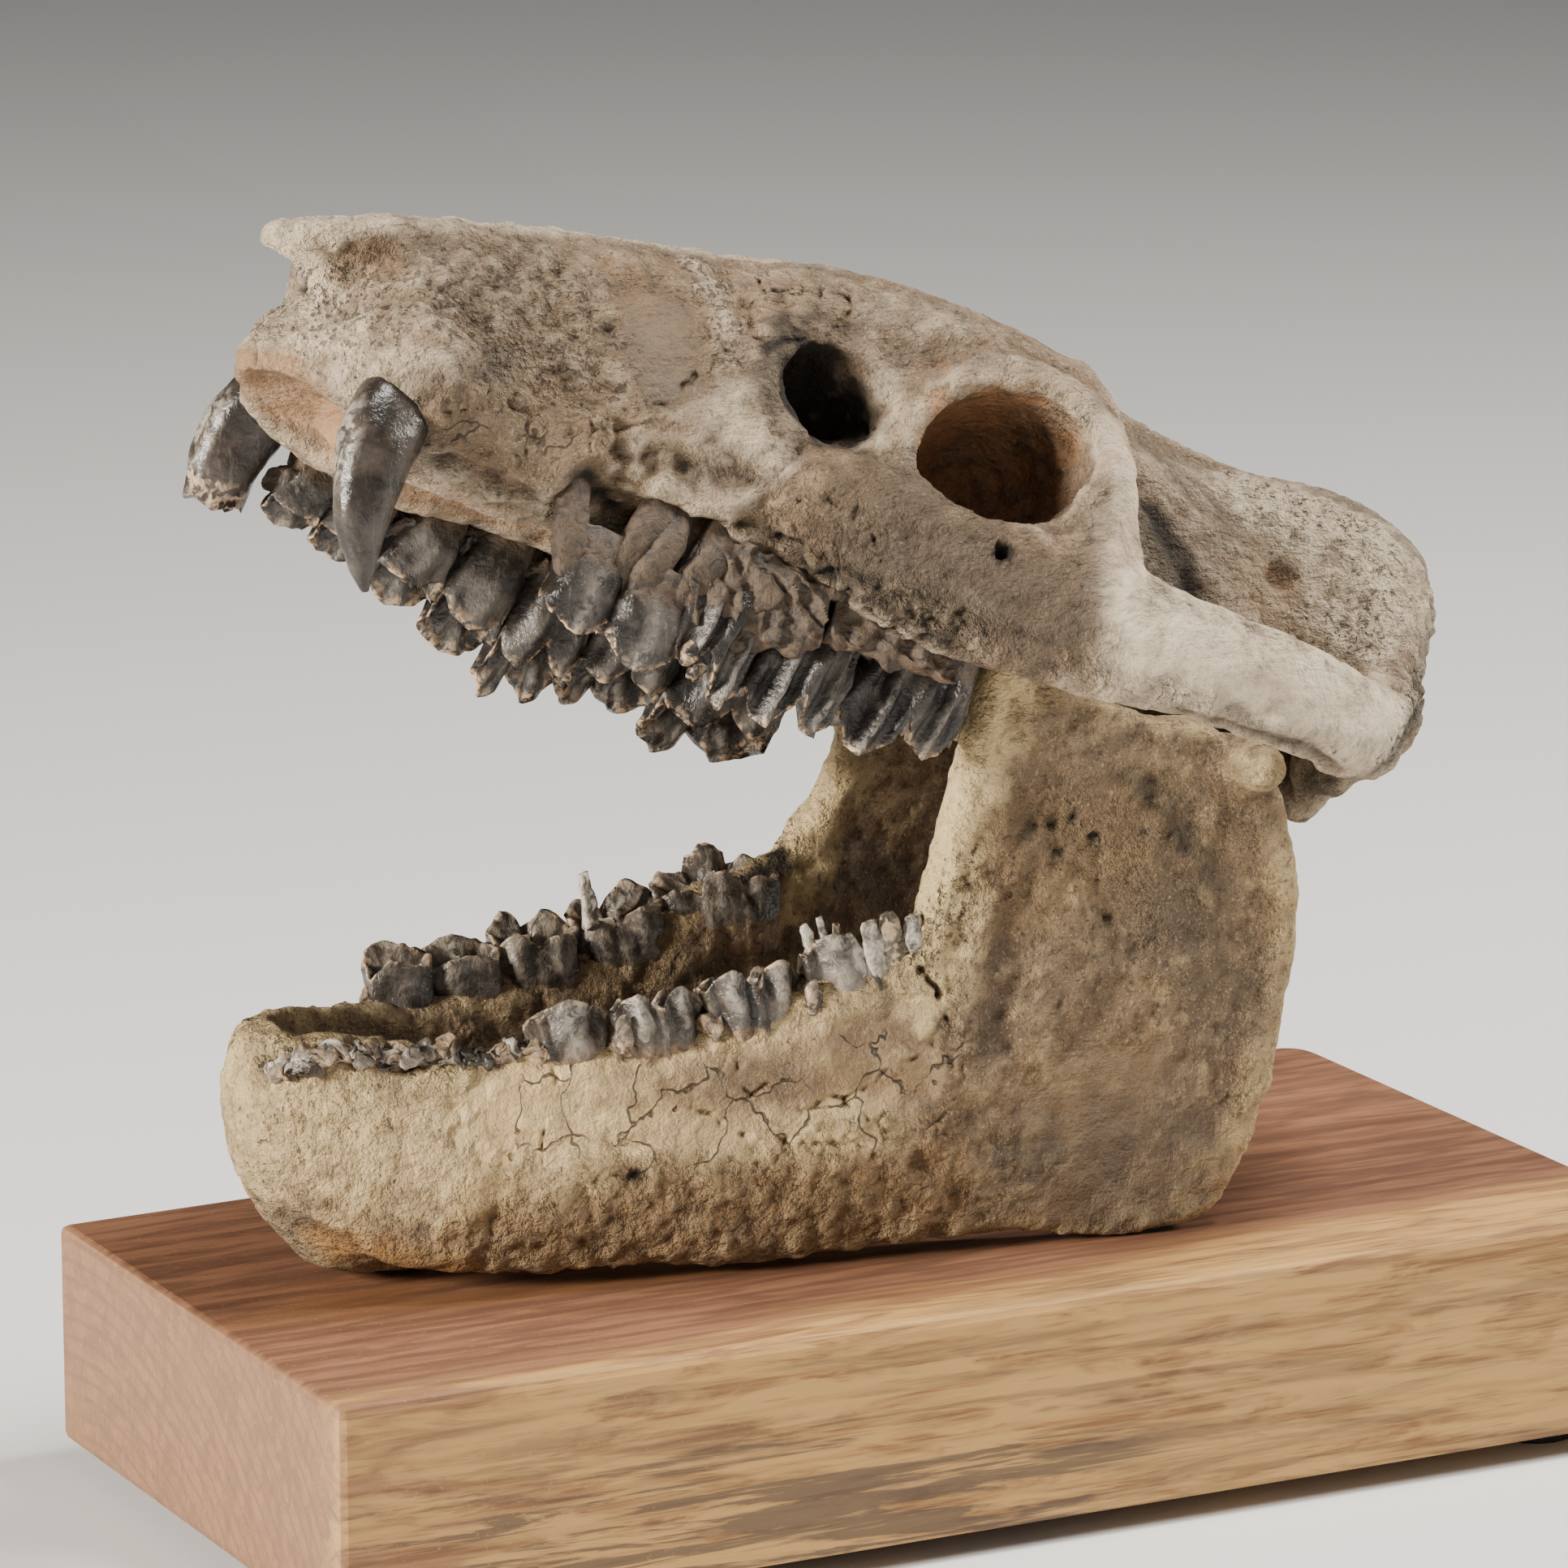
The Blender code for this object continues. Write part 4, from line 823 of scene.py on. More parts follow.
skin.stain("pores", [(30, -20, 30), (33, 0, 34), (30, 20, 30)], 12.0, 0.8)
skin.stain("crust", [(30, -22, 26), (33, 0, 34), (30, 22, 26), (24, -30, 8), (24, 30, 8)], 13.0, 0.9)
skin.stain("grime_and_shade", [(30, -22, 22), (34, 0, 28), (30, 22, 22)], 9.0, 0.35)
skin.stain("pores", [(-76, -39.5, -2.7), (-70, -42, -3.6), (-66, -43.5, -3.8)], 4.0, 1.0, edge=0.4)
skin.stain("crust", [(-78, -39, -2.7), (-70, -42, -3.6), (-62, -44.5, -4)], 4.5, 1.0)
skin.stain("grime_and_shade", [(-76, -39.5, -4.4), (-70, -42, -5.6), (-60, -43.5, -7)], 3.0, 0.3)
for place in ((-161.6, -1.4, 14), (-165.4, -1.5, 1.9)):
    skin.press([place], 1.5, 1.8)
    skin.stain("grime_and_shade", [place], 1.4, 1.0, ragged=0.1)

CRACK_WANDER = 1.6  # how far a crack strays from its path
for path in CRANIUM_CRACKS:
    skin.press(path, 0.8, 0.5, edge=1.0, ragged=0.6, wander=CRACK_WANDER)
    skin.stain("crack", path, 0.34, 0.7, edge=1.0, ragged=0.9, wander=CRACK_WANDER)
POLISH_CALMS = 0.75  # how much of the small relief a polished place has lost
calm = 1.0 - POLISH_CALMS * np.clip(skin.paint["polish"], 0, 1)
skin.height += 0.6 * swell + (0.50 + 0.5 * skin.paint["crust"]) * lumps * calm
skin.height -= 0.9 * np.clip(0.10 - np.abs(creases), 0, 1) * 5 * calm
skin.height += (0.16 + 0.30 * skin.paint["pores"] + 0.45 * skin.paint["crust"]) * crumbs * calm
CAVITY_TURNS, CAVITY_DEPTH = 10, 0.9  # smoothing turns, and the depth at which a hollow is fully dark
shade_hollows_and_light_ridges(skin, CAVITY_TURNS, CAVITY_DEPTH)
BONE_RELIEF, BONE_SHEEN = 0.0020, 0.35  # metres, and the specular level
cranium_bone = group_material(
    "cranium_bone",
    FOSSIL_BONE,
    {
        "Pale": (0.68, 0.555, 0.395),
        "Tan": (0.27, 0.180, 0.105),
        "Grey": (0.160, 0.118, 0.078),
        "Dark": (0.026, 0.018, 0.012),
        "Ochre": (0.42, 0.20, 0.085),
    },
    relief_strength=1.0,
    relief_depth=BONE_RELIEF,
    specular=BONE_SHEEN,
)
cranium = skin.finish(CRANIUM_POSE, "cranium_skin", cranium_bone)
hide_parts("cranium")


# ---------------------------------------------------------------- mandible
# The lower jaw is one fossil bone too: two tooth-bearing bars that meet in the chin, each with an upright
# plate behind its teeth. It lies on the block on its underside.

MANDIBLE_VOXEL = 1.0
SYMPHYSIS = [
    (-102, 33, 21, 27, 3, 2, 2),
    (-101.2, 36, 18, 27, 6, 2.4, 2),
    (-99, 38.6, 13.5, 27, 9.5, 3.4, 2),
    (-95.5, 40.2, 8.5, 27, 12.6, 3.8, 2),
    (-90, 40.4, 3, 26, 15.6, 4, 2.2),
    (-82, 39.4, 0.4, 25, 17.6, 3.8, 1.8),
    (-72, 37, 0.3, 23, 18, 3, 1.7),
    (-62, 28, 3, 18, 17, 2.4, 2),
]
TROUGH = [  # the hollow for the tongue: x, y, z, half width, half height
    (-94, 0, 43, 5.5, 5),
    (-86, 0, 41, 8, 8),
    (-72, 0, 37, 11, 12),
    (-58, 0, 30, 12.5, 20),
    (-48, 0, 30, 12.5, 24),
]
JAW_BAR = [  # x, distance from the midline, z, half thickness, half height
    (-90, 10.5, 25, 4.5, 13),
    (-80, 13.4, 21.5, 5.4, 16.5),
    (-66, 16.4, 19.7, 5.8, 17.3),
    (-52, 18.6, 19.5, 6, 17.3),
    (-38, 21, 19.7, 6.2, 18.5),
    (-24, 23.2, 21, 6.5, 20.4),
    (-10, 25.6, 24, 6.5, 22.5),
    (4, 28, 26, 5.4, 24.5),
    (16, 30, 27.5, 4.2, 25.5),
    (28, 31.6, 29, 2.8, 26),
]
# The plate's outline as (x, z): its front edge from the last tooth up, which is broken back on the right,
# then its tip, the notch, the joint, the angle and the underside.
RAMUS_FRONT = {
    LEFT: [(-6.0, 40.0), (-2.5, 54.0), (1.5, 68.0), (5.0, 80.0), (9.0, 89.0)],
    RIGHT: [(-5.0, 40.0), (4.0, 54.0), (11.5, 66.0), (13.5, 79.0), (14.5, 87.0)],
}
RAMUS_REST = [
    (14.5, 91), (19.5, 86.5), (27, 81), (35, 78), (42.5, 76.5), (50, 70.5),
    (54.8, 63), (57, 55), (57.4, 46), (55.8, 34), (52.8, 21), (48.5, 9.5),
    (43, 1.8), (33, 0), (21, 0.5), (8, 4), (-4, 12),
]
HIND_EDGE = [
    (50.5, 63), (54, 54), (54.2, 45), (52.6, 33), (49.6, 21),
    (45.4, 11), (40.5, 5.4), (33, 4.2), (21, 4.6),
]
RAMUS_FRONT_GAUGE, RAMUS_BACK_GAUGE = 27.5, 34.5
RAMUS_HALF_THICKNESS, RAMUS_EDGE = 3.0, 3.4


def ramus_point(x, z, side):
    """A point of the plate's middle. Its gauge widens to the back, and the joints' skew lifts the left
    plate's upper part and lowers the right one's."""
    share = min(max((x + 5.0) / 60.0, 0.0), 1.0)
    lift = -side * CONDYLE_RISE * min(max((z - 35.0) / 30.0, 0.0), 1.0)
    if side == LEFT:
        lift = min(lift, CONDYLE_RISE * max((z - 60.0), 0.0) / 60.0)
    gauge = RAMUS_FRONT_GAUGE + (RAMUS_BACK_GAUGE - RAMUS_FRONT_GAUGE) * share
    return x, side * gauge, z + lift


def ramus(bm, side):
    """The upright plate: a filled outline, thickened, with a swollen front edge and a rolled hind one."""
    loop = RAMUS_FRONT[side] + RAMUS_REST
    count = len(loop)
    verts = []
    for i in range(count):
        span = [loop[(i + k - 1) % count] for k in range(4)]
        for f in range(3):
            verts.append(bm.verts.new(ramus_point(*spline(span, 1 + f / 3), side)))
    face = bm.faces.new(verts)
    made = bmesh.ops.extrude_face_region(bm, geom=[face])
    moved = [v for v in made["geom"] if isinstance(v, bmesh.types.BMVert)]
    bmesh.ops.translate(bm, vec=(0, RAMUS_HALF_THICKNESS, 0), verts=moved)
    bmesh.ops.translate(bm, vec=(0, -RAMUS_HALF_THICKNESS, 0), verts=verts)
    front = [(x + RAMUS_EDGE, z) for x, z in RAMUS_FRONT[side]]
    for edge in (front, HIND_EDGE):
        limb(bm, [(*ramus_point(x, z, side), RAMUS_EDGE, RAMUS_EDGE) for x, z in edge], up=(0, 1, 0))


bodies = bmesh.new()
hull(bodies, SYMPHYSIS)
for side in (LEFT, RIGHT):
    limb(bodies, mirrored(JAW_BAR, side), square=3.0, segments=24)
    ramus(bodies, side)
    jaw_condyle(bodies, side)
hollows = bmesh.new()
limb(hollows, TROUGH, segments=24)
mandible_mesh = weld("mandible_bone", bodies, hollows, MANDIBLE_VOXEL, turns=4)


# ---------------------------------------------------------------- mandible: surface
# Its front is cream with an ochre stain under the chin, its sides are laced with cracks, and behind a deep
# fracture the plate turns from grainy to smooth and grey.

MANDIBLE_CRACKS = [
    [(-60.5, -21.9, 33.3), (-60.5, -22.7, 30.1), (-62.4, -22.8, 25.3), (-62, -22.9, 21)],
    [
        (-42.4, -26.2, 27.8), (-37.4, -27.3, 25.6), (-31.4, -28.3, 28.3), (-28, -28.8, 29.3),
        (-23, -29.9, 25.5),
    ],
    [(-23, -29.9, 25.5), (-16.1, -31.2, 27.1), (-10, -32, 29.5), (-4.6, -32.5, 33.3), (0.9, -32.8, 35.7)],
    [(-24.3, -29.7, 25.1), (-25.5, -29.5, 22.2), (-28.5, -28.9, 17.3)],
    [
        (-37.4, -27.3, 25.6), (-34.9, -27.8, 22.1), (-31.5, -28.4, 22.7), (-26.4, -29.3, 21.4),
        (-14.4, -31.5, 19.1),
    ],
    [(-16.1, -31.2, 27.1), (-14.4, -31.5, 24.8), (-10.9, -31.9, 21)],
    [(-52, -24.4, 34), (-50.5, -24.6, 28), (-53, -24.2, 22)],
    [(-33, -28, 37), (-34, -28.2, 33), (-31.4, -28.3, 28.3)],
    [(1.4, -32.9, 35.7), (2.2, -33.1, 30), (0.8, -33.1, 25.8), (-1.9, -32.9, 21.8), (-3.7, -32.8, 18.5)],
    [(-60, 12, 34), (-58, 12.6, 28), (-61, 12, 22)],
    [(-30, 17, 33), (-24, 18, 28), (-26, 17.6, 20), (-18, 19, 16)],
]
DEEP_CRACK = [(-4.4, -31.0, 45.5), (-1.5, -32.0, 41.4), (-0.8, -32.5, 38.0), (1.4, -32.9, 35.7)]
mandible_mesh = opened(mandible_mesh, [*MANDIBLE_CRACKS, DEEP_CRACK], CRACK_REACH, CRACK_CUTS)
skin = Skin(mandible_mesh, STAINS)
swell, lumps = skin.rough(14.0, 3, 11.0), skin.rough(4.0, 3, 13.0)
crumbs, creases = skin.rough(1.7, 2, 17.0), skin.rough(10.0, 3, 19.0)

# Chin: cream, finely pitted, with a crumbly underside and the empty sockets of the front teeth.
skin.stain("pale", [(-97, 0, 28), (-80, -14, 24), (-60, -20, 26)], 17.0, 0.8, edge=0.6)
skin.stain("pores", [(-98, -6, 26), (-88, -14, 26), (-76, -17, 28)], 13.0, 0.35)
skin.stain("crazed", [(-60, -22, 26), (-30, -28, 26), (-5, -32, 28)], 13.0, 0.7)
skin.stain("polish", [(-66, -21, 29), (-34, -28, 28), (-8, -32, 32)], 10.5, 0.8, edge=0.4)
skin.stain("pale", [(-66, -21, 24), (-34, -28, 22), (-10, -32, 22)], 6.5, 0.6, edge=0.7)
skin.stain("polish", [(-88, -15, 20), (-74, -19, 24)], 12.0, 0.5, edge=0.7)
skin.stain("ochre", [(-64, -21, 33), (-68, -20, 27), (-72, -19, 14)], 6.0, 0.25)
for side in (LEFT, RIGHT):
    under = [(-96.3, side * 6.6, 12.7), (-93.4, side * 10.2, 11), (-89.6, side * 13.9, 9.5)]
    skin.stain("grime_and_shade", under, 3.0, 0.25)
    skin.press(under, 2.6, 0.6, ragged=0.7)
    skin.stain("ochre", [(-92, side * 11, 8), (-84.9, side * 15.2, 6), (-76, side * 17.5, 4)], 7.0, 0.9)
    for x, y, z in ((-99.3, 6.6, 35.5), (-94.6, 10.8, 38.0), (-88.4, 13.6, 38.8), (-81.5, 15.6, 38.2)):
        skin.press([(x, side * y, z)], 3.4, 1.7, edge=1.0, ragged=0.9)
        skin.stain("grime_and_shade", [(x, side * y, z)], 2.8, 0.3, ragged=0.9)
    broken_rim = [(-99, side * 6, 37), (-94, side * 11, 39), (-86, side * 14.5, 39), (-77, side * 17.5, 37)]
    skin.stains(broken_rim, (("crust", 4.5, 1.0), ("pores", 4.0, 0.8)))
skin.press([(-101.0, 0, 34)], 2.6, 1.4, ragged=0.6)
for x, z in ((-86, 22), (-74, 19)):
    skin.press([(x, -16 - (x + 86) * 0.1, z)], 1.2, 1.2, ragged=0.5)
    skin.stain("grime_and_shade", [(x, -16.5 - (x + 86) * 0.1, z)], 0.9, 0.8, ragged=0.3)

# Sides: a grainy border along the underside, darker inner faces, and a hollow between the bars' upper rims in
# painted shade.
BORDER = [
    (-71, 20.9, 8), (-61, 23.1, 8), (-48.5, 25.3, 9), (-31.5, 28.4, 9), (-14.4, 31.4, 10), (-3, 32.8, 12),
]
for side in (LEFT, RIGHT):
    border = mirrored(BORDER, side)
    skin.stains(border, (("crust", 8.5, 0.9), ("tan", 9.0, 0.9)), edge=0.25)
    skin.stain("ochre", border, 9.0, 0.25, edge=0.6)
    skin.stain("grime_and_shade", border, 7.0, 0.2)
    inner = [(-55, side * 13, 24), (-35, side * 15, 26), (-12, side * 19, 30)]
    skin.stain("tan", inner, 11.0, 0.7, edge=0.4)
    skin.stain("grime_and_shade", inner, 9.0, 0.3)
    # Painted shade on the upper inner rims behind the last teeth.
    behind = [(-4.0, side * 22.0, 45), (0.0, side * 24.0, 50)]
    skin.stain("grime_and_shade", behind, 5.5, 0.9, edge=0.6, ragged=0.5)
    spongy = [(-4.0, side * 28, 47), (0.5, side * 31, 52), (3.0, side * 31.5, 58)]
    skin.stains(spongy, (("pores", 6.0, 1.0), ("crust", 5.0, 0.7)))
    skin.press(spongy, 3.0, 0.6, ragged=0.9)
SIDE_PIT = [(-48.5, -25.3, 17.2)]
skin.press(SIDE_PIT, 2.2, 1.0, ragged=0.4)
skin.stain("grime_and_shade", SIDE_PIT, 2.0, 0.7)
skin.stain("pale", [(-62, -22, 36), (-45, -25, 36), (-28, -27.5, 38), (-12, -30, 42)], 5.0, 0.5)
skin.press([(-62, -23, 33), (-56, -23.5, 34)], 4.0, -0.5)

# Upright plates: a thick pale front edge, partly a painted highlight, a ridge behind it, a grey smooth patch
# and a paler hind border.
for side in (LEFT, RIGHT):
    front = [ramus_point(x + 2.5, z, side) for x, z in RAMUS_FRONT[side]]
    # The front edge is pale bone with a painted highlight over it.
    skin.stain("pale", front, 8.0, 1.3, edge=0.5)
    skin.stain("polish", front[1:], 5.5, 0.5)
    skin.stain("pores", front[:2], 5.0, 0.9)
    ridge = mirrored([(6.9, 31.9, 54.5), (5.8, 31.7, 49.6), (3.5, 32.4, 42.9), (2.4, 33.1, 33.2)], side)
    skin.press(ridge, 3.2, -0.9)
    skin.press([(x + 5.5, y, z + 1) for x, y, z in ridge], 6.0, 0.6, edge=1.0)
    patch = [(18, side * 34, 20), (30, side * 34.6, 22), (38, side * 35.6, 12), (22, side * 34, 9)]
    skin.stain("polish", patch, 11.0, 0.7, edge=0.5)
    skin.stain("grime_and_shade", patch, 10.5, 0.30, edge=0.4)
    hind = [(54.1, side * 36.6, 61), (56.4, side * 36.8, 50), (54.4, side * 37, 36), (46.2, side * 36.5, 11)]
    skin.stain("pale", hind, 4.0, 0.2, edge=0.5)
    skin.stain("pores", [(16, side * 32.5, 62), (30, side * 34, 50), (20, side * 33, 45)], 15.0, 0.35)
    skin.stain("crust", [(14, side * 32.5, 50), (20, side * 33, 38), (12, side * 33, 30)], 9.0, 0.35)
    middle = [(14, side * 32, 62), (26, side * 33.5, 56), (30, side * 34, 40)]
    skin.stain("pale", middle, 15.0, -0.6, edge=0.5)
    skin.stain("grime_and_shade", [(14, side * 32, 66), (28, side * 33.5, 66), (38, side * 35, 52)], 10.0, 0.25)
    skin.press([(15, side * 33, 66), (24, side * 34, 58), (30, side * 34.6, 46)], 8.0, 1.0, edge=1.0)
    for x, z in ((13.8, 64.9), (17.1, 65.0), (20.5, 65.8), (23.8, 62.3), (17.9, 60.6), (30, 56), (26, 49)):
        pit = [(x, side * (32.9 + (x - 14) * 0.1), z)]
        skin.press(pit, 1.2, 1.1, ragged=0.6)
        skin.stain("grime_and_shade", pit, 0.8, 0.6, ragged=0.6)
skin.stain("grime_and_shade", [(29, -34.4, 71.8), (35.7, -35.2, 66.3), (42.6, -36.1, 55)], 3.0, 0.45)

for path in MANDIBLE_CRACKS:
    skin.press(path, 0.7, 0.4, edge=1.0, ragged=0.8, wander=CRACK_WANDER)
    skin.stain("crack", path, 0.30, 0.6, edge=1.0, ragged=1.0, wander=CRACK_WANDER)
skin.press(DEEP_CRACK, 0.9, 1.5, edge=1.0, ragged=0.7, wander=2.4)
skin.stain("crack", DEEP_CRACK, 0.5, 0.9, edge=0.9, ragged=0.7, wander=2.4)
calm = 1.0 - POLISH_CALMS * np.clip(skin.paint["polish"], 0, 1)
skin.height += 0.5 * swell + (0.40 + 0.2 * skin.paint["crust"]) * lumps * calm
skin.height -= 0.8 * np.clip(0.08 - np.abs(creases), 0, 1) * 5 * calm
skin.height += (0.14 + 0.26 * skin.paint["pores"] + 0.26 * skin.paint["crust"]) * crumbs * calm
shade_hollows_and_light_ridges(skin, CAVITY_TURNS, CAVITY_DEPTH)
mandible_bone = group_material(
    "mandible_bone",
    FOSSIL_BONE,
    {
        "Pale": (0.70, 0.52, 0.27),
        "Tan": (0.27, 0.172, 0.088),
        "Grey": (0.150, 0.104, 0.064),
        "Dark": (0.026, 0.018, 0.010),
        "Ochre": (0.36, 0.18, 0.05),
    },
    relief_strength=1.0,
    relief_depth=BONE_RELIEF,
    specular=BONE_SHEEN,
)
mandible = skin.finish(MANDIBLE_POSE, "mandible_skin", mandible_bone)
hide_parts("mandible")


# ---------------------------------------------------------------- teeth
# The cheek teeth are crescent-cusped: each lobe's outer wall rises to an upright rib, and its worn rim stands
# above a hollow. Enamel turned dark grey in the ground, with cream worn edges; its ribs carry a painted
# highlight, and the valleys between its lobes and its hollow carry painted shade. Roots are brown.

ROOT_DEPTH = 4.0
# A tooth is (front x, length, gauge, half width, gum z, the z of its left cusps, the z of its right ones).
UPPER_CHEEK_TEETH = {
    "P1": (-144, 8.5, 19.6, 3.2, -8, (), (-16,)),
    "P2": (-134.5, 10, 20.4, 3.8, -8, (), (-17.5,)),
    "P3": (-123, 11, 21.6, 4.6, -7, (), (-20.5,)),
    "P4": (-111, 11.5, 22.8, 5.6, -5.5, (), (-24,)),
    "M1": (-99, 13.5, 23.2, 6.8, -5.5, (-20.4, -25), (-28, -26.5)),
    "M2": (-85, 16, 23.6, 7.6, -6.5, (-24.8, -23.8), (-24, -22.8)),
    "M3": (-68.5, 20, 23.4, 7.6, -6, (-23.4, -20.5), (-26, -24)),
}
LOWER_CHEEK_TEETH = {
    "p3": (-72, 10, 16.8, 3.4, 34.5, (), (45.5,)),
    "p4": (-61.5, 11.5, 18.4, 4, 34.5, (44.2,), (44.5,)),
    "m1": (-49.5, 13.5, 20.4, 4.6, 35, (44.4, 44.8), (46.5, 46)),
    "m2": (-35.5, 15, 22.2, 5, 36.5, (46.8, 47.6), (46.5, 48.6)),
    "m3": (-20, 20, 24.2, 5, 40, (51.2, 48), (49, 52.5, 50)),
}
CROWN_RISE = (-0.30, -0.10, 0.0, 0.10, 0.20, 0.32, 0.44, 0.56, 0.68, 0.79, 0.88, 0.95, 1.0)
CROWN_BASIN = ((0.88, 0.03), (0.74, 0.17), (0.56, 0.28), (0.34, 0.31), (0.12, 0.29))
CROWN_SEGMENTS = 96
# The rib stain is a painted highlight.
TOOTH_STAINS = ("worn", "rib_highlight", "base", "shadow")


def lobe_of(u, count, peak):
    """Which lobe a place along the crown lies in, and how far it is off that lobe's rib, from -1 to 1."""
    place = (u + 1) / 2 * count
    lobe = min(max(int(place), 0), count - 1)
    off = min(max((place - lobe) * 2 - 1, -1.0), 1.0) - peak
    return lobe, off / (1 + peak) if off < 0 else off / (1 - peak)


def crown(
    bm, x, y, gum, tips, half_length, half_width, side,
    lean=0.0, seed=0.0, fold=0.80, peak=0.0, notch=0.32, bulge=1.0,
):
    """One cheek tooth's closed shell. u runs back along it and v out to the cheek. fold is how deep its outer
    ribs are, peak where in its lobe each rib lies, notch how far the rim is cut between the cusps, and bulge
    is 1 for a sharp rib and more for a rounded lobe."""
    worn, rib_highlight, base, shadow = (bm.verts.layers.float[stain] for stain in TOOTH_STAINS)
    count = len(tips)
    down = math.copysign(1.0, tips[0] - gum)

    def point(angle, share, inset, sunk):
        u, v = power(math.cos(angle), 0.75), power(math.sin(angle), 0.72)
        lobe, off = lobe_of(u, count, peak)
        cut = notch * abs(off) ** 1.5 * (1 + 0.5 * noise.noise(Vector((4 * u + seed, seed, v))))
        top = (tips[lobe] - gum) * (1 - cut - 0.22 * min(1.0, max(0.0, -2.5 * v)))
        grown = max(share, 0.0)
        rise = share * top if share > 0 else share * ROOT_DEPTH / 0.3 * down
        girth = 0.86 + 0.16 * math.sin(math.pi * min(grown, 1.0) ** 0.8) - 0.12 * grown
        out = v * girth * (1.0 - (0.34 if v < 0 else 0.16) * grown**1.5)
        if v > 0:
            folded = fold * (1 - abs(off) ** bulge) - 0.62 * fold
        else:
            folded = 0.24 * (1 - abs(off) ** 1.7) - 0.14
        out += math.copysign(folded * (0.45 + 0.55 * min(1.0, grown * 2)) * abs(v) ** 0.4, v)
        back = x + half_length * u * (0.90 + 0.12 * grown) * inset
        where = Vector((back, y + side * half_width * out * inset, 0))
        where.x += lean * grown
        where.z = gum + rise - sunk * top
        shake = noise.noise_vector(where / 3.4 + Vector((seed, 0, 0))) * 0.6
        return where + shake + noise.noise_vector(where / 1.2) * 0.18

    loops = []
    levels = [(share, 1.0, 0.0) for share in CROWN_RISE] + [(1.0, inset, sunk) for inset, sunk in CROWN_BASIN]
    for share, inset, sunk in levels:
        verts = bmesh.ops.create_circle(bm, segments=CROWN_SEGMENTS, radius=1.0)["verts"]
        for v in verts:
            angle = math.atan2(v.co.y, v.co.x)
            _, off = lobe_of(power(math.cos(angle), 0.75), count, peak)
            outer = math.sin(angle) > 0
            v.co = point(angle, share, inset, sunk)
            v[worn] = max(0.0, (share - 0.93) / 0.07) * max(0.0, (inset - 0.80) / 0.20)
            grown = max(share, 0.0)
            # A painted highlight along each rib, and painted shade in the valleys between the lobes and in
            # the crown's hollow.
            v[rib_highlight] = max(0.0, 1 - abs(off) * 4 / bulge) * (0.3 + 0.7 * grown) * (0.7 if outer else 0.2)
            v[shadow] = max(0.0, abs(off) * 1.7 - 0.7) if outer else max(0.0, 0.9 - inset)
            v[base] = max(0.0, 1 - grown * 5.5)
        loops.append(edges_of(verts))
    loft(bm, loops)


def root(bm, stations, square=2.4):
    """A tooth's root, brown and rough, as a bar through its stations."""
    for v in limb(bm, stations, up=(1, 0, 0), steps=7, segments=26, square=square):
        v[bm.verts.layers.float["base"]] = 1.0
        v.co += noise.noise_vector(v.co / 2.2) * 0.45 + noise.noise_vector(v.co / 0.8) * 0.12


def shard(bm, foot, tip, half_width, seed, stain):
    """A splinter of broken enamel: a thin, squared blade that narrows to a chipped tip."""
    middle = [(a + b) / 2 for a, b in zip(foot, tip)]
    stations = [(*foot, 0.9, half_width), (*middle, 0.8, half_width * 0.95), (*tip, 0.35, half_width * 0.6)]
    for v in limb(bm, stations, up=(1, 0, 0), steps=5, segments=28, square=4.0):
        v.co += noise.noise_vector(v.co / 1.6 + Vector((seed, 0, 0))) * 0.5
        v[bm.verts.layers.float[stain]] = 0.8


def rubble(bm, place, radii, seed, stain, roughness=0.9):
    """A lump of broken enamel, bone or stone."""
    for v in blob(bm, place, radii):
        coarse = noise.noise_vector(v.co / 2.0 + Vector((seed, seed, 0)))
        v.co += coarse * roughness + noise.noise_vector(v.co / 0.7) * 0.3 * roughness
        v[bm.verts.layers.float[stain]] = 0.5 + 0.5 * noise.noise(v.co / 1.2)


def fossil_enamel_group():
    """Fossil enamel: dark and glossy, with painted shade in the folds and a painted highlight on the ribs,
    cream where worn, bony at its base.
    """
    tree, given, here = node_group("fossil_enamel", ("Dark", "Mid", "White", "Worn", "Bone"))
    clouds = fractal(tree, here, 6.0, 5.0, 0.6, 0.4)
    streaks = fractal(tree, stretched(tree, here, (1, 1, 0.18), (0, -0.3, 0)), 1.0, 4.0, 0.6)
    specks = fractal(tree, here, 0.55, 3.0, 0.65)
    chips = fractal(tree, here, 1.8, 4.0, 0.65, 0.6)

    colour = blend(tree, remap(tree, clouds, 0.40, 0.66), given["Dark"], given["Mid"])
    enamel = [
        (remap(tree, streaks, 0.58, 0.76, 0.0, 0.18), "White"),
        (remap(tree, chips, 0.60, 0.74, 0.0, 0.5), "Bone"),
        (patchy(tree, "rib_highlight", chips, 0.40, 0.60, 0.1), "White"),
        (patchy(tree, "shadow", chips, 0.70, 0.40, 0.3, 0.9), "Dark"),
    ]
    colour = layers(tree, given, colour, enamel)
    bony = patchy(tree, "base", chips, 0.28, 0.50, 0.6, 1.3)
    tarnish = blend(tree, remap(tree, chips, 0.36, 0.58, 0.25, 1.0), given["Dark"], given["Bone"])
    colour = blend(tree, bony, colour, tarnish)
    chewed = patchy(tree, "worn", chips, 0.46, 0.62, 0.0, 1.3)
    wear = [(chewed, "Worn"), (remap(tree, specks, 0.58, 0.74, 0.0, 0.4), "Dark")]
    colour = layers(tree, given, colour, wear)

    dull = maths(tree, "MAXIMUM", chewed, bony)
    height = times(tree, plus(tree, streaks, specks), 0.4)
    height = plus(tree, height, times(tree, chips, remap(tree, bony, 0.0, 1.0, 1.2, 2.4)))
    return give(tree, colour, remap(tree, dull, 0.0, 1.0, 0.27, 0.64), height)


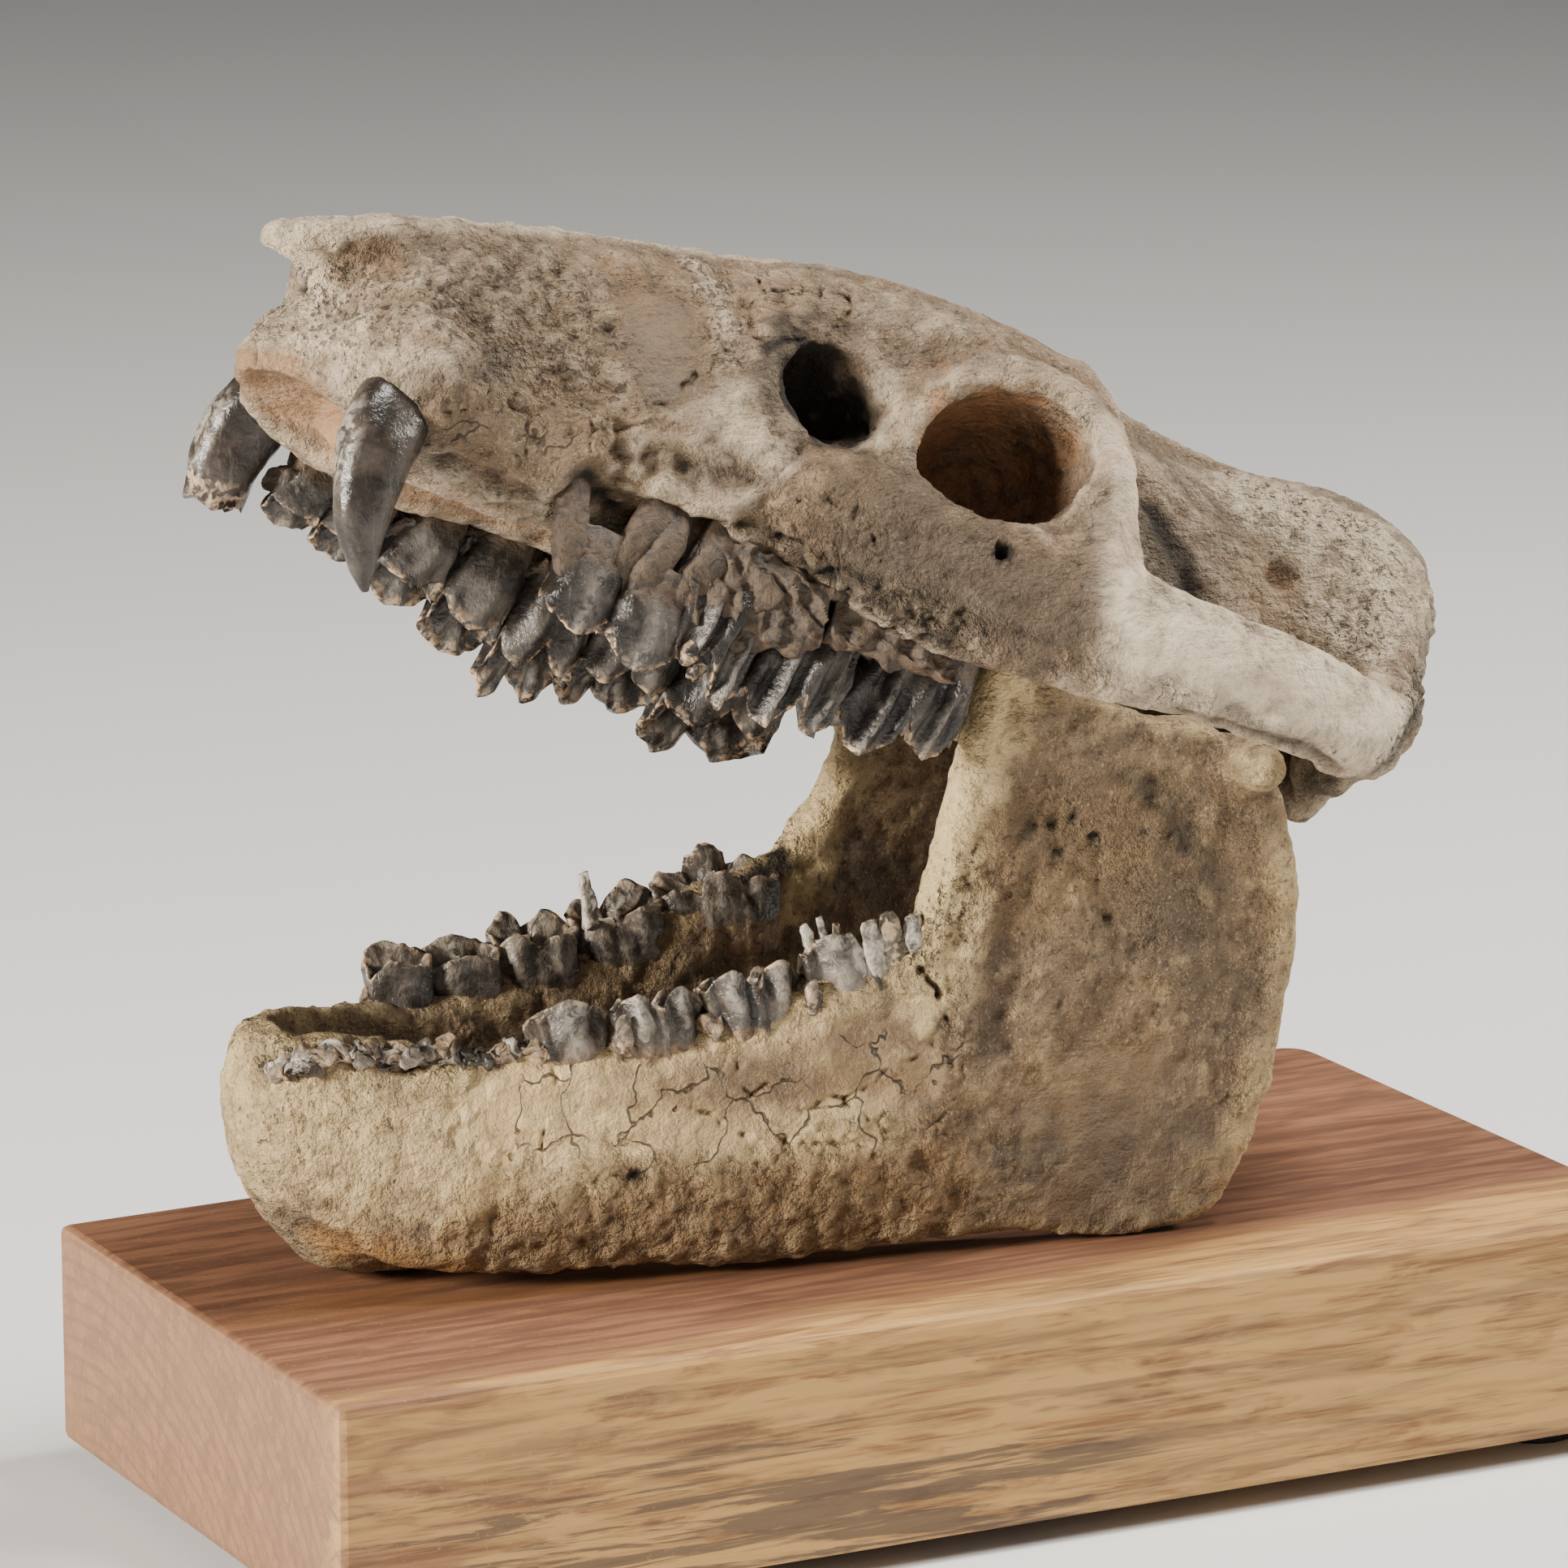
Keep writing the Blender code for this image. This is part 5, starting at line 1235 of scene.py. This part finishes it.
FOSSIL_ENAMEL = fossil_enamel_group()
ENAMEL_RELIEF = 0.0006
upper_enamel = group_material(
    "upper_enamel",
    FOSSIL_ENAMEL,
    {
        "Dark": (0.016, 0.013, 0.011),
        "Mid": (0.110, 0.095, 0.080),
        "White": (0.42, 0.38, 0.33),
        "Worn": (0.60, 0.40, 0.23),
        "Bone": (0.092, 0.060, 0.035),
    },
    relief_strength=0.55,
    relief_depth=ENAMEL_RELIEF,
)
lower_enamel = group_material(
    "lower_enamel",
    FOSSIL_ENAMEL,
    {
        "Dark": (0.036, 0.029, 0.023),
        "Mid": (0.24, 0.195, 0.150),
        "White": (0.64, 0.58, 0.49),
        "Worn": (0.60, 0.43, 0.27),
        "Bone": (0.34, 0.225, 0.125),
    },
    relief_strength=0.55,
    relief_depth=ENAMEL_RELIEF,
)


def tooth_shell():
    """An empty shape whose vertices carry a value for each stain of the teeth."""
    bm = bmesh.new()
    for stain in TOOTH_STAINS:
        bm.verts.layers.float.new(stain)
    return bm


def finish_teeth(name, bm, pose, material):
    """Moves the teeth from their bone's frame to the whole object's and makes them one piece."""
    bmesh.ops.recalc_face_normals(bm, faces=bm.faces)
    bmesh.ops.transform(bm, matrix=pose, verts=bm.verts)
    finished(name, mesh_of(name, bm), material)


def tooth_row(bm, teeth, side, **form):
    """Each tooth of the row that this side still has, with a lump of bone at its front corner."""
    for k, (front, length, gauge, half_width, gum, left_tips, right_tips) in enumerate(teeth.values()):
        tips = left_tips if side == LEFT else right_tips
        if tips:
            crown(
                bm, front + length / 2, side * gauge, gum, tips, length / 2 * 1.06, half_width, side,
                seed=7.0 * k + side, **form,
            )
            corner = (front, side * (gauge + 0.5), gum + math.copysign(1.6, tips[0] - gum))
            rubble(bm, corner, (2.0, half_width * 0.8, 2.4), 5.0 * k, "base", 1.3)


def root_folds(bm, stations, side, across=4.2, slant=0.5):
    """The crumpled, fan-like bone over a molar's roots: sharp, uneven, slanting folds, with painted shade
    between.
    """
    base, shadow = bm.verts.layers.float["base"], bm.verts.layers.float["shadow"]
    middle_z = stations[0][2]
    for v in limb(bm, stations, steps=24, segments=96):
        warp = noise.noise(v.co / 6.0) * 3.2 + noise.noise(v.co / 2.4) * 0.9
        place = (v.co.x + slant * (v.co.z - middle_z) + warp) / across
        crest = 1 - abs(2 * (place - math.floor(place)) - 1)
        height = crest**1.6 * (0.6 + 0.8 * noise.noise(v.co / 4.0))
        torn = noise.fractal(v.co / 2.6, 0.8, 2.0, 3, noise_basis="PERLIN_ORIGINAL")
        v[base], v[shadow] = 1.0, max(0.0, 0.5 - height) * 0.9
        v.co += Vector((0, side * (1.9 * height + 0.7 * torn - 0.9), 1.6 * noise.noise(v.co / 3.0)))
        v.co += noise.noise_vector(v.co / 1.5) * 0.3


# Upper left: the two premolars behind the gap hang from bared, splayed roots, as the bone over them is gone.
BARED_ROOTS = [  # x, y, z, half thickness, half height, from the crown up
    [
        (-118, -23.4, -16, 1, 1), (-119.8, -24.2, -10, 2, 2.6),
        (-121.2, -23.4, -3, 1.9, 2.7), (-121, -20, 4, 2, 2),
    ],
    [
        (-112.2, -23.4, -16, 1, 1), (-110.2, -24.8, -9, 1.9, 3.2),
        (-108, -25.6, -2, 2, 3.6), (-107, -22, 4, 2, 2),
    ],
    [
        (-106.8, -25, -17.5, 1, 1), (-107.4, -26.2, -11, 1.8, 2.6),
        (-105.6, -26.8, -4, 1.8, 2.4), (-104, -23, 3, 2, 2),
    ],
    [
        (-102.4, -25.2, -17.5, 1, 1), (-100.4, -26.8, -10, 1.8, 2.8),
        (-98.4, -27.8, -4, 2, 3.2), (-97, -24, 3, 2, 2),
    ],
]
FRONT_FOLDS = [
    (-101.5, -26.6, -8, 2.2, 5),
    (-95, -28.2, -8, 2.8, 7.4),
    (-88, -31, -7.6, 2.8, 7),
    (-81, -34, -7, 2.4, 5),
]
REAR_FOLDS = [(-80.0, -34.0, -6.5, 1.6, 3.6), (-70.0, -36.6, -7.0, 2.0, 3.8), (-60.0, -39.0, -7.0, 1.6, 3.0)]
bm = tooth_shell()
tooth_row(bm, UPPER_CHEEK_TEETH, LEFT, lean=-2.0)
crown(bm, -114.6, -22.8, -10.0, (-21.8,), 5.6, 3.8, LEFT, lean=-0.5, seed=31.0, fold=0.42, notch=0.34)
for roots in BARED_ROOTS[:2]:
    root(bm, roots)
crown(bm, -104.6, -24.0, -12.4, (-23.8,), 5.8, 4.6, LEFT, lean=-0.4, seed=47.0, fold=0.42, notch=0.32)
for roots in BARED_ROOTS[2:]:
    root(bm, roots)
root_folds(bm, FRONT_FOLDS, LEFT)
root_folds(bm, REAR_FOLDS, LEFT, across=4.6, slant=0.3)
rubble(bm, (-97.8, -28.4, -18.5), (1.4, 1.2, 1.9), 3.0, "worn", 0.5)
rubble(bm, (-96.4, -28.6, -20.5), (1.1, 1.1, 1.3), 5.0, "worn", 0.5)
finish_teeth("upper_left_teeth", bm, CRANIUM_POSE, upper_enamel)

bm = tooth_shell()
tooth_row(bm, UPPER_CHEEK_TEETH, RIGHT, lean=-1.6, fold=0.40, notch=0.18)
finish_teeth("upper_right_teeth", bm, CRANIUM_POSE, upper_enamel)

# Lower left: the front teeth are broken to stubs framed by bone, and the last molar is split into shards.
BROKEN_RIM = [
    (-98.5, -8.5, 36.2),
    (-94.5, -12, 38.2),
    (-88, -14.6, 38.8),
    (-80, -15.8, 38),
    (-71, -17, 37),
    (-63, -18, 37),
]
STUBS = 44
bm = tooth_shell()
tooth_row(bm, LOWER_CHEEK_TEETH, LEFT, lean=-0.8, fold=0.62, peak=-0.15, notch=0.30, bulge=2.0)
for k in range(STUBS):
    scatter = noise.noise_vector(Vector((7.3 * k, 0, 0)))
    rim = Vector(spline(BROKEN_RIM, k / STUBS * (len(BROKEN_RIM) - 1)))
    size = 1.3 + 1.5 * abs(scatter.x)
    place = rim + Vector((0, 2.2 * scatter.y, 1.4 * scatter.z - 0.9))
    stain = ("shadow", "rib_highlight", "shadow", "base")[k % 4]
    rubble(bm, place, (size * 1.3, size, size * 0.8), 4.0 * k, stain, 1.5)
rubble(bm, (-50.0, -24.2, 38.6), (1.5, 1.1, 3.0), 61.0, "worn", 0.5)
rubble(bm, (-20.8, -28.4, 41.8), (1.3, 1.2, 2.8), 67.0, "worn", 0.5)
LAST_MOLAR_SHARDS = [  # foot, tip, half width
    ((-17.5, -25.6, 43), (-21, -25.4, 52), 0.9),
    ((-16.4, -26.2, 43), (-18.6, -26, 53.4), 0.8),
    ((-15.4, -26.8, 43), (-16.2, -26.4, 52), 1),
    ((-13, -28.2, 42.6), (-15.6, -27.8, 50.6), 2.2),
    ((-9.6, -28.6, 43.4), (-11.8, -28.4, 52.4), 1.9),
    ((-6.6, -28.8, 44), (-8.6, -28.2, 53.4), 2.1),
    ((-3.4, -29, 45.6), (-4.6, -28.6, 52.6), 1.8),
]
for k, (foot, tip, half_width) in enumerate(LAST_MOLAR_SHARDS):
    shard(bm, foot, tip, half_width, 9.0 * k, "worn" if k % 3 == 2 else "rib_highlight")
finish_teeth("lower_left_teeth", bm, MANDIBLE_POSE, lower_enamel)

bm = tooth_shell()
tooth_row(bm, LOWER_CHEEK_TEETH, RIGHT, lean=-0.8, fold=0.40, peak=-0.2, notch=0.22, bulge=2.2)
shard(bm, (-34.0, 19.6, 43.5), (-35.4, 19.6, 52.0), 1.2, 3.0, "rib_highlight")
finish_teeth("lower_right_teeth", bm, MANDIBLE_POSE, lower_enamel)


# ---------------------------------------------------------------- canines
# Each upper canine is a stout curved tusk, dark, with a painted highlight down its leading edge. The right
# one has lost its tip.

CANINE = [  # from root to tip: x, distance from the midline, z, half thickness, half height
    (-143, 10, 13, 2.4, 3),
    (-148, 16, 6.5, 3.8, 5),
    (-151.4, 19.8, -1, 4.5, 6),
    (-153, 21.8, -8, 4.3, 5.8),
    (-152.6, 22.6, -16, 3.4, 4.4),
    (-150.2, 22.8, -22.8, 1.9, 2.4),
    (-148.2, 22.6, -26.6, 0.5, 0.6),
]
CANINE_CRACK_Z = {LEFT: -7.0, RIGHT: -10.0}
CANINE_MIDDLE_X = -152.0
BROKEN_TIP_Z = -13.5  # the right one's chipped end lies below this
canine_enamel = group_material(
    "canine_enamel",
    FOSSIL_ENAMEL,
    {
        "Dark": (0.017, 0.013, 0.010),
        "Mid": (0.060, 0.047, 0.037),
        "White": (0.34, 0.30, 0.25),
        "Worn": (0.42, 0.30, 0.20),
        "Bone": (0.070, 0.052, 0.037),
    },
    relief_strength=0.3,
    relief_depth=ENAMEL_RELIEF,
)
for side, label in ((LEFT, "left"), (RIGHT, "right")):
    bm = tooth_shell()
    stations = CANINE if side == LEFT else CANINE[:-2]
    limb(bm, mirrored(stations, side), up=(1, 0, 0), steps=10, segments=36, square=2.2)
    worn, rib_highlight, base, shadow = (bm.verts.layers.float[stain] for stain in TOOTH_STAINS)
    for v in bm.verts:
        middle = CANINE_MIDDLE_X + 0.12 * max(0.0, -16 - v.co.z) * 3
        # A painted highlight down the leading edge, where the key light glints.
        v[rib_highlight] = min(max((middle - 5.0 - v.co.x) / 1.4, 0.0), 1.0) * 0.9
        v[base] = min(max((v.co.z - 2.0) / 6.0, 0.0), 1.0)
        off = abs(v.co.z - CANINE_CRACK_Z[side] - 0.8 * noise.noise(v.co / 2.5))
        v[shadow] = max(0.0, 1 - off / 0.35)
        v.co += noise.noise_vector(v.co / 5.0) * 0.4 + noise.noise_vector(v.co / 1.6) * 0.12
        if side == RIGHT and v.co.z < BROKEN_TIP_Z:
            v[worn] = 0.8
            v.co.z += 2.2 * noise.noise(v.co / 1.8)
    finish_teeth(f"upper_{label}_canine", bm, CRANIUM_POSE, canine_enamel)


# ---------------------------------------------------------------- block
# A planed length of walnut, dark heartwood above, with its pale spalted sapwood along the front.

BLOCK_END_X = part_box("stand_block")[0][0]


def walnut_group():
    """Walnut sawn along x: red-brown heartwood that turns to golden, spalted sapwood towards the front."""
    tree, given, here = node_group("walnut_wood", ("Heart", "Heart Dark", "Sap", "Sap Dark", "Spalt", "End"))
    place = add(tree, "SeparateXYZ", {"Vector": here}).outputs
    along = stretched(tree, here, (0.14, 1.0, 0.8), (0, 0, 0.05))
    drift = fractal(tree, along, 16.0, 3.0, 0.5, 0.3)
    figure = fractal(tree, along, 3.4, 4.0, 0.6, 0.8)
    stripe = fractal(tree, stretched(tree, here, (0.035, 1, 1)), 1.0, 5.0, 0.65)
    vessel = {"Vector": stretched(tree, here, (0.07, 1, 1)), "Scale": 1000 / 0.9}
    vessels = remap(tree, add(tree, "TexVoronoi", vessel).outputs["Distance"], 0.28, 0.10)
    mottle = fractal(tree, here, 0.8, 3.0, 0.6)
    pith = stretched(tree, here, (1, 1, 1), location=(0, -0.035, 0.055))
    ring_form = {"Vector": pith, "Scale": 105.0, "Distortion": 2.5, "Detail": 3.0, "Detail Scale": 0.5}
    rings = add(tree, "TexWave", ring_form, wave_type="RINGS", rings_direction="X").outputs["Fac"]

    heart = blend(tree, remap(tree, figure, 0.35, 0.66, 0.25, 1.0), given["Heart Dark"], given["Heart"])
    heart_figure = [
        (remap(tree, rings, 0.60, 1.0, 0.0, 0.6), "Heart Dark"),
        (remap(tree, drift, 0.55, 0.70, 0.0, 0.55), "Sap Dark"),
        (remap(tree, stripe, 0.56, 0.72, 0.0, 0.4), "Heart Dark"),
    ]
    heart = layers(tree, given, heart, heart_figure)
    sap = blend(tree, remap(tree, figure, 0.44, 0.62), given["Sap"], given["Sap Dark"])
    sap = blend(tree, remap(tree, rings, 0.75, 1.0, 0.0, 0.35), sap, given["Sap Dark"])
    sap = blend(tree, remap(tree, stripe, 0.40, 0.60, 0.3, 1.0), given["Sap"], sap)
    low = remap(tree, place["Z"], 0.027, 0.014)
    forward = remap(tree, place["X"], 0.035, -0.02)
    smear = fractal(tree, stretched(tree, here, (0.10, 1, 1.6)), 5.0, 5.0, 0.7, 0.6)
    spalted = times(tree, plus(tree, times(tree, low, forward), 0.28), 1.9)
    spalted = times(tree, spalted, remap(tree, smear, 0.46, 0.64), True)
    sap = blend(tree, times(tree, spalted, 0.8), sap, given["Spalt"])

    edge = plus(tree, place["Y"], times(tree, place["X"], -0.085))
    edge = plus(tree, edge, times(tree, maths(tree, "SUBTRACT", figure, 0.5), 0.022))
    dust = remap(tree, place["X"], -0.02, -0.08)
    dust = times(tree, remap(tree, mottle, 0.62, 0.72), dust, True)
    saw_marks = [
        (times(tree, vessels, 0.30), "Heart Dark"),
        (remap(tree, place["X"], BLOCK_END_X + 0.0012, BLOCK_END_X + 0.0004, 0.0, 0.35), "End"),
        (times(tree, dust, 0.4), "Sap"),
    ]
    colour = blend(tree, remap(tree, edge, -0.0535, -0.0385), sap, heart)
    colour = layers(tree, given, colour, saw_marks)
    grain = maths(tree, "SUBTRACT", times(tree, stripe, 0.6), times(tree, vessels, 0.5))
    return give(tree, colour, remap(tree, stripe, 0.3, 0.7, 0.52, 0.68), grain)


walnut = group_material(
    "walnut",
    walnut_group(),
    {
        "Heart": (0.25, 0.112, 0.055),
        "Heart Dark": (0.100, 0.040, 0.019),
        "Sap": (0.50, 0.285, 0.092),
        "Sap Dark": (0.22, 0.097, 0.030),
        "Spalt": (0.070, 0.045, 0.030),
        "End": (0.33, 0.20, 0.115),
    },
    relief_strength=0.4,
    relief_depth=0.0003,
)
bpy.data.objects["stand_block"].material_slots[0].material = walnut

# Its four feet are black rubber discs, dusty and finely moulded.


def rubber_material(name):
    """Black rubber, greyed by dust, with a fine moulded grain."""
    made = bpy.data.materials.new(name)
    made.use_nodes = True
    tree = made.node_tree
    shader = tree.nodes["Principled BSDF"]
    here = add(tree, "TexCoord").outputs["Object"]
    dust = remap(tree, fractal(tree, here, 2.0, 4.0, 0.6), 0.45, 0.75)
    grain = fractal(tree, here, 0.3, 2.0, 0.5)
    relief = add(tree, "Bump", {"Height": grain, "Strength": 0.3, "Distance": 0.0001})
    dusty = blend(tree, dust, (0.012, 0.012, 0.012), (0.05, 0.046, 0.042))
    tree.links.new(dusty, shader.inputs["Base Color"])
    tree.links.new(relief.outputs["Normal"], shader.inputs["Normal"])
    shader.inputs["Roughness"].default_value = 0.75
    return made


black_rubber = rubber_material("black_rubber")
for foot in (1, 2, 3, 4):
    bpy.data.objects[f"stand_foot_{foot}"].material_slots[0].material = black_rubber


# ---------------------------------------------------------------- floor, lights and camera
# A pale floor under soft studio light: a warm key from low on the left, a light from above, a weaker one
# from the right, and a faint broad fill from in front.

FLOOR_HALF_SIZE = 6.0
bm = bmesh.new()
bmesh.ops.create_grid(bm, x_segments=1, y_segments=1, size=FLOOR_HALF_SIZE)
floor = placed("floor", mesh_of("floor", bm))
floor_paint = bpy.data.materials.new("pale_floor")
floor_paint.use_nodes = True
floor_shader = floor_paint.node_tree.nodes["Principled BSDF"]
floor_shader.inputs["Base Color"].default_value = (0.72, 0.72, 0.71, 1)
floor_shader.inputs["Roughness"].default_value = 0.9
floor.data.materials.append(floor_paint)

world = bpy.data.worlds.new("studio")
world.use_nodes = True
surroundings = world.node_tree.nodes["Background"]
surroundings.inputs["Color"].default_value = (0.86, 0.88, 0.92, 1)
surroundings.inputs["Strength"].default_value = 0.11
bpy.context.scene.world = world


SKULL_MIDDLE = Vector((0.0, 0.0, 0.11))
LIGHTS = {  # place, size, watts, colour
    "key": ((-1.15, -0.16, 0.42), 0.22, 34, (1, 0.94, 0.85)),
    "top": ((0.35, -0.15, 1.20), 0.30, 20, (1, 0.96, 0.90)),
    "rim": ((1.00, -0.30, 0.55), 0.26, 11, (1, 0.96, 0.90)),
    "fill": ((-0.30, -1.25, 0.45), 0.9, 1.5, (1, 0.97, 0.93)),
}
for name, (place, size, watts, colour) in LIGHTS.items():
    lamp = bpy.data.lights.new(name, "AREA")
    lamp.size, lamp.energy, lamp.color = size, watts, colour
    light = placed(name, lamp)
    light.location = place
    light.rotation_euler = (SKULL_MIDDLE - Vector(place)).to_track_quat("-Z", "Y").to_euler()

CAMERA_PLACE = Vector((-0.52704, -1.00608, 0.36619))
CAMERA_RIGHT = Vector((0.89010293, -0.45575955, 0.0))
CAMERA_UP = Vector((0.10243976, 0.20006588, 0.97441251))
turn = Matrix((CAMERA_RIGHT, CAMERA_UP, CAMERA_RIGHT.cross(CAMERA_UP))).transposed()
lens = bpy.data.cameras.new("camera")
lens.sensor_width, lens.lens = 36.0, 177.0
camera = placed("camera", lens)
camera.matrix_world = Matrix.Translation(CAMERA_PLACE) @ turn.to_4x4()
bpy.context.scene.camera = camera
